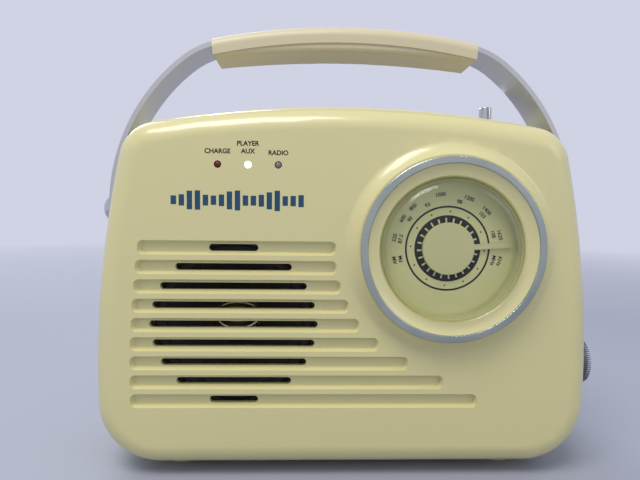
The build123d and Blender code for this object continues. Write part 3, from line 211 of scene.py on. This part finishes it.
cream = (0.645, 0.595, 0.285)
cream_plastic = finish_of(
    "cream_plastic", cream, (0.62, 0.57, 0.27), (0.27, 0.33), 0.000003,
    cloud=7.0, grain=1400.0, Coat_Weight=0.4, Coat_Roughness=0.07,
)
foot_rubber = finish_of(
    "foot_rubber", (0.56, 0.51, 0.26), (0.51, 0.465, 0.24), (0.55, 0.75), 0.00004, grain=1500.0
)
zinc_steel = finish_of(
    "zinc_steel", (0.58, 0.58, 0.56), (0.48, 0.48, 0.47), (0.25, 0.42), 0.00001,
    grain=1400.0, Metallic=1.0,
)
dress(cream_plastic, "front_shell", "rear_shell")
dress(foot_rubber, "feet")
dress(zinc_steel, "case_screws", "board_screws")

# --- printing on the front ---------------------------------------------------------------------
# Pad-printed words above the three indicator lamps, and a row of teal bars like a sound wave in
# the upper left. The ink stands a few hundredths of a millimetre proud of the cover.

face_y = -0.036
ink = 0.00004
lamp_z = 0.150
lamp_x = (-0.0600, -0.0461, -0.0322)
label_size = 0.0030
wave_left = -0.0802
wave_right = -0.0216
wave_middle_z = 0.1335
wave_height = 0.0101
wave_bars = 17
wave_bar_width = 0.0025
label_weight = 0.00009


def on_front(x, y, z, turn=0.0):
    """Placement with local x across the radio, local y up and local z out of the front."""
    upright = Matrix(((1, 0, 0, 0), (0, 0, -1, 0), (0, 1, 0, 0), (0, 0, 0, 1)))
    return Matrix.Translation((x, y, z)) @ upright @ Matrix.Rotation(turn, 4, "Z")


def words_mesh(words, size, place, weight=0.0):
    """Printed words, centred on their place, as a mesh."""
    letters = bpy.data.curves.new("letters", "FONT")
    letters.body = words
    letters.size = size
    letters.align_x = "CENTER"
    letters.align_y = "CENTER"
    letters.extrude = ink / 2
    letters.offset = weight
    letters.resolution_u = 4
    draft = bpy.data.objects.new("letters", letters)
    scene.collection.objects.link(draft)
    mesh = bpy.data.meshes.new_from_object(
        draft.evaluated_get(bpy.context.evaluated_depsgraph_get())
    )
    bpy.data.objects.remove(draft)
    mesh.transform(place)
    return mesh


def one_piece(name, meshes, material, body, shading=False):
    """Join meshes into one closed piece that rides on a body."""
    joined = bmesh.new()
    for mesh in meshes:
        joined.from_mesh(mesh)
    bmesh.ops.remove_doubles(joined, verts=joined.verts, dist=1e-7)
    bmesh.ops.recalc_face_normals(joined, faces=joined.faces)
    result = bpy.data.meshes.new(name)
    joined.to_mesh(result)
    joined.free()
    result.materials.clear()
    result.materials.append(material)
    for face in result.polygons:
        face.material_index = 0
    piece = bpy.data.objects.new(name, result)
    scene.collection.objects.link(piece)
    if shading:
        soft_shade(piece)
    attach(piece, body)
    return piece


def grown(name, build, sizes, material):
    """Run a geometry-node tree on its named sizes and return the result as a plain mesh."""
    tree = bpy.data.node_groups.new(name, "GeometryNodeTree")
    tree.interface.new_socket("Geometry", in_out="OUTPUT", socket_type="NodeSocketGeometry")
    keys = {}
    for label, value in sizes.items():
        kind = "NodeSocketInt" if isinstance(value, int) else "NodeSocketFloat"
        socket = tree.interface.new_socket(label, in_out="INPUT", socket_type=kind)
        keys[label] = socket.identifier
    given = tree.nodes.new("NodeGroupInput")
    shape = build(tree, given.outputs)
    real = tree.nodes.new("GeometryNodeRealizeInstances")
    coat = tree.nodes.new("GeometryNodeSetMaterial")
    coat.inputs["Material"].default_value = material
    out = tree.nodes.new("NodeGroupOutput")
    tree.links.new(shape, real.inputs["Geometry"])
    tree.links.new(real.outputs["Geometry"], coat.inputs["Geometry"])
    tree.links.new(coat.outputs["Geometry"], out.inputs["Geometry"])
    draft = bpy.data.objects.new(name, bpy.data.meshes.new(name))
    scene.collection.objects.link(draft)
    maker = draft.modifiers.new(name, "NODES")
    maker.node_group = tree
    for label, value in sizes.items():
        maker[keys[label]] = value
    bpy.context.view_layer.update()
    mesh = bpy.data.meshes.new_from_object(
        draft.evaluated_get(bpy.context.evaluated_depsgraph_get())
    )
    draft.modifiers.remove(maker)
    bpy.data.objects.remove(draft)
    return mesh


def maths(tree, operation, *terms):
    """One maths node on sockets or plain numbers."""
    node = tree.nodes.new("ShaderNodeMath")
    node.operation = operation
    for socket, term in zip(node.inputs, terms):
        if isinstance(term, (int, float)):
            socket.default_value = term
        else:
            tree.links.new(term, socket)
    return node.outputs[0]


def vector_of(tree, x, y, z):
    """A vector from three sockets or plain numbers."""
    node = tree.nodes.new("ShaderNodeCombineXYZ")
    for socket, term in zip(node.inputs, (x, y, z)):
        if isinstance(term, (int, float)):
            socket.default_value = term
        else:
            tree.links.new(term, socket)
    return node.outputs[0]


def blocks_on_points(tree, count, position, rotation, size):
    """Unit blocks on count points, placed, turned and sized by fields."""
    points = tree.nodes.new("GeometryNodePoints")
    tree.links.new(count, points.inputs["Count"])
    tree.links.new(position, points.inputs["Position"])
    block = tree.nodes.new("GeometryNodeMeshCube")
    block.inputs["Size"].default_value = (1, 1, 1)
    placed = tree.nodes.new("GeometryNodeInstanceOnPoints")
    tree.links.new(points.outputs[0], placed.inputs["Points"])
    tree.links.new(block.outputs["Mesh"], placed.inputs["Instance"])
    tree.links.new(rotation, placed.inputs["Rotation"])
    tree.links.new(size, placed.inputs["Scale"])
    return placed.outputs["Instances"]


def wave_row(tree, given):
    """Upright bars in a row whose heights rise and fall like a sound wave."""
    index = tree.nodes.new("GeometryNodeInputIndex").outputs[0]
    across = maths(tree, "MULTIPLY_ADD", index, given["Pitch"], given["Start"])
    swell = maths(tree, "ABSOLUTE", maths(tree, "SINE", maths(tree, "MULTIPLY", index, 0.62)))
    ripple = maths(tree, "ABSOLUTE", maths(tree, "COSINE", maths(tree, "MULTIPLY", index, 1.9)))
    share = maths(tree, "MULTIPLY_ADD", maths(tree, "MULTIPLY", swell, ripple), 0.6, 0.4)
    tall = maths(tree, "MULTIPLY", share, given["Height"])
    return blocks_on_points(
        tree,
        given["Bars"],
        vector_of(tree, across, 0, 0),
        vector_of(tree, 0, 0, 0),
        vector_of(tree, given["Width"], tall, given["Thickness"]),
    )


black_ink = finish_of(
    "black_ink", (0.004, 0.004, 0.004), (0.007, 0.007, 0.007), (0.5, 0.65), 0.000002,
    grain=2500.0, Specular_IOR_Level=0.2
)
teal_ink = finish_of(
    "teal_ink", (0.006, 0.050, 0.105), (0.008, 0.060, 0.120), (0.22, 0.35), 0.000004, grain=2500.0
)
labels = (
    ("CHARGE", lamp_x[0], lamp_z + 0.0059),
    ("PLAYER", lamp_x[1], lamp_z + 0.0095),
    ("AUX", lamp_x[1], lamp_z + 0.0060),
    ("RADIO", lamp_x[2], lamp_z + 0.0054),
)
one_piece(
    "lamp_labels",
    [words_mesh(words, label_size, on_front(x, face_y, z), label_weight) for words, x, z in labels],
    black_ink,
    "case",
)
wave_mesh = grown(
    "sound_wave",
    wave_row,
    {
        "Bars": wave_bars,
        "Start": wave_left,
        "Pitch": (wave_right - wave_left) / (wave_bars - 1),
        "Width": wave_bar_width,
        "Height": wave_height,
        "Thickness": ink,
    },
    teal_ink,
)
wave_mesh.transform(on_front(0, face_y, wave_middle_z))
one_piece("sound_wave", [wave_mesh], teal_ink, "case")

# --- tuning dial -------------------------------------------------------------------------------
# A printed cream scale plate behind a clear acrylic dome that is also the tuning knob, in a glossy
# cream cone with a plated ring round it. The cream pointer disc turns with the dome.

plate_low, plate_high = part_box("dial_plate")
dial_x = (plate_low.x + plate_high.x) / 2
dial_z = (plate_low.z + plate_high.z) / 2
plate_y = plate_low.y
scale_rows = (
    (0.0260, (("520", 169), ("600", 147), ("800", 131), ("1000", 99), ("1200", 68),
              ("1400", 45), ("1620", 15), ("KHz", -13), ("AM", 193))),
    (0.0230, (("87.5", 169), ("90", 143), ("93", 116), ("98", 77), ("103", 45),
              ("108", 18), ("MHz", -14), ("FM", 193))),
)
scale_size = 0.0026
scale_weight = 0.00007
ring_line = (0.0196, 0.0205)
tooth_ring = (0.0118, 0.0160)
tooth_count = 24
tooth_radius = 0.0136
tooth_size = (0.0022, 0.0008)
dot_count = 12
dot_circle = 0.0178
dot_radius = 0.00042
disc_steps = 96
dome_wall = 0.0014
dome_corner = 0.0050
dome_crown = 0.0008


def turned_mesh(profile, place):
    """A closed shape turned about the dial's axis from a closed outline of radii and heights."""
    draft = bmesh.new()
    rims = []
    for radius, height in profile:
        if radius == 0:
            rims.append([draft.verts.new((0, 0, height))] * disc_steps)
        else:
            rims.append([
                draft.verts.new((radius * cos(2 * pi * k / disc_steps),
                                 radius * sin(2 * pi * k / disc_steps), height))
                for k in range(disc_steps)
            ])
    for low, high in zip(rims, rims[1:] + rims[:1]):
        for k in range(disc_steps):
            after = (k + 1) % disc_steps
            corners = dict.fromkeys((low[k], low[after], high[after], high[k]))
            if len(corners) > 2:
                draft.faces.new(corners)
    mesh = bpy.data.meshes.new("turned")
    draft.to_mesh(mesh)
    draft.free()
    mesh.transform(place)
    return mesh


def flat_ring(inner, outer, thickness):
    """Outline of a thin flat ring."""
    return ((inner, 0), (outer, 0), (outer, thickness), (inner, thickness))


def dome_line(radius, top, crown, corner, steps=10):
    """Half of a dome's section: its skirt, its rounded corner and its slightly crowned front."""
    shoulder = radius - corner
    turns = [pi / 2 * k / steps for k in range(steps + 1)]
    line = [
        (shoulder + corner * cos(turn), top - crown - corner * (1 - sin(turn))) for turn in turns
    ]
    line += [
        (shoulder * (1 - k / steps), top - crown * (1 - k / steps) ** 2) for k in range(1, steps + 1)
    ]
    return line[:-1] + [(0, top)]


def marks_round(tree, given):
    """Blocks spaced evenly round a circle, long side along the radius."""
    index = tree.nodes.new("GeometryNodeInputIndex").outputs[0]
    step = maths(tree, "DIVIDE", 2 * pi, given["Count"])
    angle = maths(tree, "MULTIPLY_ADD", index, step, given["Start"])
    across = maths(tree, "MULTIPLY", maths(tree, "COSINE", angle), given["Radius"])
    up = maths(tree, "MULTIPLY", maths(tree, "SINE", angle), given["Radius"])
    return blocks_on_points(
        tree,
        given["Count"],
        vector_of(tree, across, up, 0),
        vector_of(tree, 0, 0, angle),
        vector_of(tree, given["Length"], given["Width"], given["Thickness"]),
    )


def dots_round(tree, given):
    """Small round dots spaced evenly round a circle."""
    index = tree.nodes.new("GeometryNodeInputIndex").outputs[0]
    step = maths(tree, "DIVIDE", 2 * pi, given["Count"])
    angle = maths(tree, "MULTIPLY_ADD", index, step, given["Start"])
    across = maths(tree, "MULTIPLY", maths(tree, "COSINE", angle), given["Radius"])
    up = maths(tree, "MULTIPLY", maths(tree, "SINE", angle), given["Radius"])
    points = tree.nodes.new("GeometryNodePoints")
    tree.links.new(given["Count"], points.inputs["Count"])
    tree.links.new(vector_of(tree, across, up, 0), points.inputs["Position"])
    dot = tree.nodes.new("GeometryNodeMeshCylinder")
    dot.inputs["Vertices"].default_value = 16
    tree.links.new(given["Dot Radius"], dot.inputs["Radius"])
    tree.links.new(given["Thickness"], dot.inputs["Depth"])
    placed = tree.nodes.new("GeometryNodeInstanceOnPoints")
    tree.links.new(points.outputs[0], placed.inputs["Points"])
    tree.links.new(dot.outputs["Mesh"], placed.inputs["Instance"])
    return placed.outputs["Instances"]


scale_cream = finish_of(
    "scale_cream", (0.63, 0.595, 0.27), (0.60, 0.565, 0.255), (0.35, 0.45), 0.00001, grain=1200.0
)
pointer_cream = finish_of(
    "pointer_cream", (0.58, 0.54, 0.26), (0.55, 0.51, 0.245), (0.28, 0.36), 0.000012, grain=1200.0
)
# Plated ring: a silvery base with cloudy teal patches that are painted reflection glints, not a tint
# of the plating.
ring_plate_painted_glints = finish_of(
    "ring_plate_painted_glints", (0.62, 0.60, 0.52), (0.24, 0.34, 0.31), (0.14, 0.26), 0.000004,
    cloud=45.0, grain=1800.0, Metallic=0.9,
)
clear_dome = bpy.data.materials.new("clear_dome")
clear_dome.use_nodes = True
dome_tree = clear_dome.node_tree
dome_gloss = dome_tree.nodes["Principled BSDF"]
dome_gloss.inputs["Metallic"].default_value = 1.0
dome_gloss.inputs["Base Color"].default_value = (0.95, 1.0, 0.98, 1)
dome_scratch = dome_tree.nodes.new("ShaderNodeTexNoise")
dome_scratch.inputs["Scale"].default_value = 700.0
dome_place = dome_tree.nodes.new("ShaderNodeTexCoord")
dome_polish = dome_tree.nodes.new("ShaderNodeMapRange")
dome_polish.inputs["To Min"].default_value = 0.01
dome_polish.inputs["To Max"].default_value = 0.06
dome_tree.links.new(dome_place.outputs["Object"], dome_scratch.inputs["Vector"])
dome_tree.links.new(dome_scratch.outputs["Fac"], dome_polish.inputs["Value"])
dome_tree.links.new(dome_polish.outputs["Result"], dome_gloss.inputs["Roughness"])
dome_through = dome_tree.nodes.new("ShaderNodeBsdfTransparent")
dome_through.inputs["Color"].default_value = (0.985, 0.995, 0.98, 1)
dome_facing = dome_tree.nodes.new("ShaderNodeLayerWeight")
dome_curve = dome_tree.nodes.new("ShaderNodeMath")
dome_curve.operation = "POWER"
dome_curve.inputs[1].default_value = 3.0
dome_share = dome_tree.nodes.new("ShaderNodeMath")
dome_share.operation = "MULTIPLY_ADD"
dome_share.inputs[1].default_value = 0.9
dome_share.inputs[2].default_value = 0.02
dome_mix = dome_tree.nodes.new("ShaderNodeMixShader")
dome_tree.links.new(dome_facing.outputs["Facing"], dome_curve.inputs[0])
dome_tree.links.new(dome_curve.outputs["Value"], dome_share.inputs[0])
dome_tree.links.new(dome_share.outputs["Value"], dome_mix.inputs["Fac"])
dome_tree.links.new(dome_through.outputs["BSDF"], dome_mix.inputs[1])
dome_tree.links.new(dome_gloss.outputs["BSDF"], dome_mix.inputs[2])
dome_tree.links.new(
    dome_mix.outputs["Shader"], dome_tree.nodes["Material Output"].inputs["Surface"]
)

dress(cream_plastic, "dial_cone")
dress(scale_cream, "dial_plate")
dress(pointer_cream, "pointer")
dress(ring_plate_painted_glints, "dial_ring")
dome_low, dome_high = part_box("tuning_dome")
dome_radius = (dome_high.x - dome_low.x) / 2
dome_depth = dome_high.y - dome_low.y
outside = dome_line(dome_radius, dome_depth, dome_crown, dome_corner)
inside = dome_line(
    dome_radius - dome_wall, dome_depth - dome_wall, dome_crown, dome_corner - dome_wall
)
dome = one_piece(
    "clear_dome",
    [
        turned_mesh(
            [(dome_radius, 0)] + outside + inside[::-1] + [(dome_radius - dome_wall, 0)],
            on_front(dial_x, dome_high.y, dial_z),
        )
    ],
    clear_dome,
    "tuning",
    shading=True,
)
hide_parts("tuning_dome")
dial_front = on_front(dial_x, plate_y, dial_z)
one_piece(
    "scale_numbers",
    [
        words_mesh(
            words,
            scale_size,
            dial_front
            @ Matrix.Rotation(radians(angle), 4, "Z")
            @ Matrix.Translation((radius, 0, 0))
            @ Matrix.Rotation(-pi / 2, 4, "Z"),
            scale_weight,
        )
        for radius, marks in scale_rows
        for words, angle in marks
    ],
    black_ink,
    "case",
)
dots_mesh = grown(
    "scale_dots",
    dots_round,
    {
        "Count": dot_count, "Radius": dot_circle, "Start": radians(-3),
        "Dot Radius": dot_radius, "Thickness": ink,
    },
    black_ink,
)
dots_mesh.transform(dial_front)
one_piece(
    "scale_rings",
    [
        turned_mesh(flat_ring(*ring_line, ink / 2), dial_front),
        turned_mesh(flat_ring(*tooth_ring, ink / 2), dial_front),
        dots_mesh,
    ],
    black_ink,
    "case",
)
teeth_mesh = grown(
    "scale_teeth",
    marks_round,
    {
        "Count": tooth_count, "Radius": tooth_radius, "Start": radians(4),
        "Length": tooth_size[0], "Width": tooth_size[1], "Thickness": 2 * ink,
    },
    scale_cream,
)
teeth_mesh.transform(dial_front)
one_piece("scale_teeth", [teeth_mesh], scale_cream, "case")

# --- tuning capacitor and main board -----------------------------------------------------------
# The dome's steel shaft carries half-round vanes inside a white nylon capacitor box, which is
# soldered to the back of the green main board.


def board_finish():
    """Green solder mask with fine copper tracks showing through it."""
    material = finish_of(
        "solder_mask", (0.012, 0.10, 0.035), (0.02, 0.13, 0.05), (0.28, 0.4), 0.00003, grain=600.0
    )
    tree = material.node_tree
    place = tree.nodes.new("ShaderNodeTexCoord")
    tracks = tree.nodes.new("ShaderNodeTexVoronoi")
    tracks.distance = "MANHATTAN"
    tracks.feature = "F1"
    tracks.inputs["Scale"].default_value = 260.0
    bright = tree.nodes.new("ShaderNodeMix")
    bright.data_type = "RGBA"
    bright.inputs["A"].default_value = (0.012, 0.10, 0.035, 1)
    bright.inputs["B"].default_value = (0.10, 0.24, 0.07, 1)
    tree.links.new(place.outputs["Object"], tracks.inputs["Vector"])
    tree.links.new(tracks.outputs["Distance"], bright.inputs["Factor"])
    tree.links.new(
        bright.outputs["Result"], tree.nodes["Principled BSDF"].inputs["Base Color"]
    )
    return material


solder_mask = board_finish()
white_nylon = finish_of(
    "white_nylon", (0.74, 0.74, 0.70), (0.68, 0.68, 0.64), (0.4, 0.55), 0.00003, grain=700.0,
)
dress(solder_mask, "main_board", "lamp_board", "volume_board", "button_board", "socket_board")
dress(zinc_steel, "tuning_shaft", "volume_shaft")
dress(white_nylon, "tuning_capacitor")

# --- indicator lamps ---------------------------------------------------------------------------
# Three 3 mm lamps of cast epoxy on a small board behind the cover: dark red and unlit, white and
# lit, and grey and unlit.

red_epoxy = finish_of(
    "red_epoxy", (0.16, 0.006, 0.006), (0.10, 0.004, 0.004), (0.08, 0.18), 0.000004, grain=900.0,
)
grey_epoxy = finish_of(
    "grey_epoxy", (0.22, 0.21, 0.19), (0.15, 0.145, 0.13), (0.08, 0.18), 0.000004, grain=900.0,
)
white_epoxy = finish_of(
    "white_epoxy", (0.75, 0.90, 1.0), (0.70, 0.86, 1.0), (0.08, 0.18), 0.000004, grain=900.0,
    Emission_Color=(0.75, 0.90, 1.0, 1), Emission_Strength=1.6,
)
dress(red_epoxy, "lamp_charge")
dress(white_epoxy, "lamp_player")
dress(grey_epoxy, "lamp_radio")

# --- loudspeaker -------------------------------------------------------------------------------
# A 90 mm loudspeaker screwed behind the slots: pressed black paper cone on a foam surround,
# polished dust cap, stamped steel basket, ferrite magnet and steel yoke on a foam gasket.

black_paper = finish_of(
    "black_paper", (0.020, 0.014, 0.012), (0.012, 0.009, 0.008), (0.55, 0.8), 0.00008, grain=420.0
)
black_foam = finish_of(
    "black_foam", (0.008, 0.007, 0.006), (0.014, 0.012, 0.011), (0.75, 0.95), 0.00010, grain=1100.0
)
black_enamel = finish_of(
    "black_enamel", (0.010, 0.009, 0.009), (0.016, 0.014, 0.013), (0.5, 0.65), 0.00003, grain=900.0
)
polished_cap = finish_of(
    "polished_cap", (0.62, 0.60, 0.54), (0.50, 0.48, 0.43), (0.06, 0.12), 0.000005,
    grain=800.0, Metallic=1.0,
)
dark_ferrite = finish_of(
    "dark_ferrite", (0.035, 0.035, 0.038), (0.06, 0.058, 0.056), (0.5, 0.7), 0.00005, grain=800.0
)
dress(black_paper, "speaker_cone")
dress(black_foam, "speaker_surround", "speaker_gasket")
dress(polished_cap, "dust_cap")
dress(black_enamel, "speaker_frame")
dress(zinc_steel, "speaker_yoke")
dress(dark_ferrite, "speaker_magnet")

# --- volume control ----------------------------------------------------------------------------
# A black potentiometer on its own board in the case, and a domed gunmetal knob on the right-hand
# side whose rim has fine moulded ribs for the thumb.

knob_low, knob_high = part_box("volume_knob")
knob_y = (knob_low.y + knob_high.y) / 2
knob_z = (knob_low.z + knob_high.z) / 2
knob_radius = (knob_high.z - knob_low.z) / 2
rib_length = 0.0068
rib_count = 72
rib_depth = 0.0005
rib_width = 0.00045
rib_inset = 0.0008

gunmetal = finish_of(
    "gunmetal", (0.11, 0.13, 0.135), (0.085, 0.10, 0.105), (0.16, 0.26), 0.00001,
    grain=1200.0, Coat_Weight=0.6, Coat_Roughness=0.06, Metallic=0.35,
)
black_plastic = finish_of(
    "black_plastic", (0.018, 0.018, 0.019), (0.026, 0.026, 0.027), (0.42, 0.6), 0.00004, grain=1300.0
)
dress(gunmetal, "volume_knob")
dress(black_plastic, "volume_pot")
ribs_mesh = grown(
    "knob_ribs",
    marks_round,
    {
        "Count": rib_count, "Radius": knob_radius, "Start": 0.0, "Length": rib_depth,
        "Width": rib_width, "Thickness": rib_length,
    },
    gunmetal,
)
rib_middle_x = knob_low.x + rib_inset + rib_length / 2
ribs_mesh.transform(
    Matrix.Translation((rib_middle_x, knob_y, knob_z)) @ Matrix.Rotation(pi / 2, 4, "Y")
)
one_piece("knob_ribs", [ribs_mesh], gunmetal, "volume")

# --- push buttons on the top -------------------------------------------------------------------
# Four gunmetal buttons in a black panel let into the top, on tactile switches. Each has a white
# printed sign: a square, a pair of arrows back, one arrow, and a pair of arrows on.

sign_size = 0.0028
sign_reach = sign_size * 0.42
arrow_shift = 0.0012


def polygon_mesh(corners, place):
    """A thin flat plate with the given outline."""
    draft = bmesh.new()
    low = [draft.verts.new((x, y, 0)) for x, y in corners]
    high = [draft.verts.new((x, y, ink)) for x, y in corners]
    draft.faces.new(list(reversed(low)))
    draft.faces.new(high)
    for k in range(len(corners)):
        after = (k + 1) % len(corners)
        draft.faces.new((low[k], low[after], high[after], high[k]))
    mesh = bpy.data.meshes.new("plate")
    draft.to_mesh(mesh)
    draft.free()
    mesh.transform(place)
    return mesh


def arrow(middle, way):
    """Outline of a triangle that points to +x or -x."""
    return (
        (middle - way * sign_reach, -sign_size / 2), (middle + way * sign_reach, 0),
        (middle - way * sign_reach, sign_size / 2),
    )


white_ink = finish_of(
    "white_ink", (0.72, 0.72, 0.69), (0.66, 0.66, 0.63), (0.35, 0.45), 0.000004, grain=2500.0
)
signs = {
    "mode": [(
        (-sign_reach, -sign_reach), (sign_reach, -sign_reach),
        (sign_reach, sign_reach), (-sign_reach, sign_reach),
    )],
    "previous": [arrow(-arrow_shift, -1), arrow(arrow_shift, -1)],
    "play": [arrow(0.0, 1)],
    "next": [arrow(-arrow_shift, 1), arrow(arrow_shift, 1)],
}
dress(black_plastic, "button_panel", "button_switches")
for button, outlines in signs.items():
    low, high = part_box(f"button_{button}")
    dress(gunmetal, f"button_{button}")
    sign_place = Matrix.Translation(((low.x + high.x) / 2, (low.y + high.y) / 2, high.z))
    one_piece(
        f"sign_{button}",
        [polygon_mesh(outline, sign_place) for outline in outlines],
        white_ink,
        f"{button}_button",
    )

# --- sockets on the back -----------------------------------------------------------------------
# A black panel in the back wall round four steel or black sockets and the band selector, all
# soldered to one board that is screwed to posts in the case.

panel_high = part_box("socket_panel")[1]
legend_size = 0.0024
legend_drop = 0.0030
legends = (("DC 5V", 0.024), ("USB", 0.040), ("CARD", 0.056), ("AUX", 0.070), ("AM FM", 0.084))


def on_back(x, y, z):
    """Placement with local x to the left seen from the front, local y up and local z backwards."""
    upright = Matrix(((-1, 0, 0, 0), (0, 0, 1, 0), (0, 1, 0, 0), (0, 0, 0, 1)))
    return Matrix.Translation((x, y, z)) @ upright


dress(black_plastic, "socket_panel", "aux_jack", "band_slider")
dress(zinc_steel, "usb_socket", "card_socket", "power_socket", "band_switch")
one_piece(
    "socket_legends",
    [
        words_mesh(words, legend_size, on_back(x, panel_high.y, panel_high.z - legend_drop))
        for words, x in legends
    ],
    white_ink,
    "case",
)

# --- battery bay -------------------------------------------------------------------------------
# One sleeved lithium cell between sprung steel contacts, under a cream lid in the back wall that
# has moulded ridges for the thumb.

door_low, door_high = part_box("battery_door")
ridge_count = 7
ridge_pitch = 0.0022
ridge_size = (0.0009, 0.0100, 0.0008)
ridge_inset = 0.014


def ridge_row(tree, given):
    """Straight ridges side by side."""
    index = tree.nodes.new("GeometryNodeInputIndex").outputs[0]
    across = maths(tree, "MULTIPLY_ADD", index, given["Pitch"], given["Start"])
    return blocks_on_points(
        tree,
        given["Count"],
        vector_of(tree, across, 0, 0),
        vector_of(tree, 0, 0, 0),
        vector_of(tree, given["Width"], given["Length"], given["Thickness"]),
    )


cell_sleeve = finish_of(
    "cell_sleeve", (0.03, 0.10, 0.22), (0.02, 0.08, 0.18), (0.2, 0.3), 0.00001, grain=900.0
)
dress(cream_plastic, "battery_door")
dress(cell_sleeve, "battery_cell")
dress(zinc_steel, "battery_contacts")
ridge_mesh = grown(
    "lid_ridges",
    ridge_row,
    {
        "Count": ridge_count, "Start": -ridge_pitch * (ridge_count - 1) / 2,
        "Pitch": ridge_pitch, "Width": ridge_size[0], "Length": ridge_size[1],
        "Thickness": ridge_size[2],
    },
    cream_plastic,
)
ridge_mesh.transform(
    on_back(door_high.x - ridge_inset, door_high.y, (door_low.z + door_high.z) / 2)
)
one_piece("lid_ridges", [ridge_mesh], cream_plastic, "battery_lid")

# --- ferrite aerial ----------------------------------------------------------------------------
# A sintered ferrite rod in the case's moulded holders, with one close winding of enamelled copper
# wire.


def winding_finish():
    """Close turns of copper wire, seen as fine bands across the rod."""
    material = finish_of(
        "copper_winding", (0.55, 0.20, 0.07), (0.45, 0.15, 0.05), (0.22, 0.34), 0.00001,
        Metallic=1.0,
    )
    tree = material.node_tree
    place = tree.nodes.new("ShaderNodeTexCoord")
    turns = tree.nodes.new("ShaderNodeTexWave")
    turns.bands_direction = "X"
    turns.inputs["Scale"].default_value = 800.0
    bump = tree.nodes.new("ShaderNodeBump")
    bump.inputs["Distance"].default_value = 0.0001
    tree.links.new(place.outputs["Object"], turns.inputs["Vector"])
    tree.links.new(turns.outputs["Fac"], bump.inputs["Height"])
    tree.links.new(bump.outputs["Normal"], tree.nodes["Principled BSDF"].inputs["Normal"])
    return material


dress(dark_ferrite, "ferrite_rod")
dress(winding_finish(), "ferrite_coil")

# --- telescopic antenna ------------------------------------------------------------------------
# Four drawn and chromed brass tubes sliding in each other, with a turned tip that rests on the
# fixed tube, in a black collar where the tube comes out of the top.

chrome = finish_of(
    "chrome", (0.62, 0.62, 0.62), (0.55, 0.56, 0.57), (0.05, 0.11), 0.000003,
    cloud=60.0, grain=1600.0, Metallic=1.0,
)
dress(
    chrome, "antenna_tube", "antenna_section_1", "antenna_section_2", "antenna_section_3",
    "antenna_tip",
)
dress(black_plastic, "antenna_collar")

# --- handle ------------------------------------------------------------------------------------
# A satin anodised aluminium strip bent over the case, on plated pivot screws with nylon washers,
# with a two-piece grip of soft cream plastic clamped on its crown.

satin_strip = finish_of(
    "satin_strip", (0.64, 0.63, 0.60), (0.56, 0.55, 0.53), (0.30, 0.42), 0.000006,
    cloud=6.0, grain=120.0, stretch=(0.25, 12, 0.25), Metallic=1.0,
)
grip_plastic = finish_of(
    "grip_plastic", (0.60, 0.53, 0.33), (0.56, 0.495, 0.305), (0.38, 0.50), 0.00002,
    cloud=26.0, grain=1500.0, Sheen_Weight=0.1,
)
dress(satin_strip, "handle_band")
dress(grip_plastic, "grip_top", "grip_base")
dress(chrome, "pivot_screws")
dress(zinc_steel, "pivot_nuts")
dress(white_nylon, "pivot_washers")
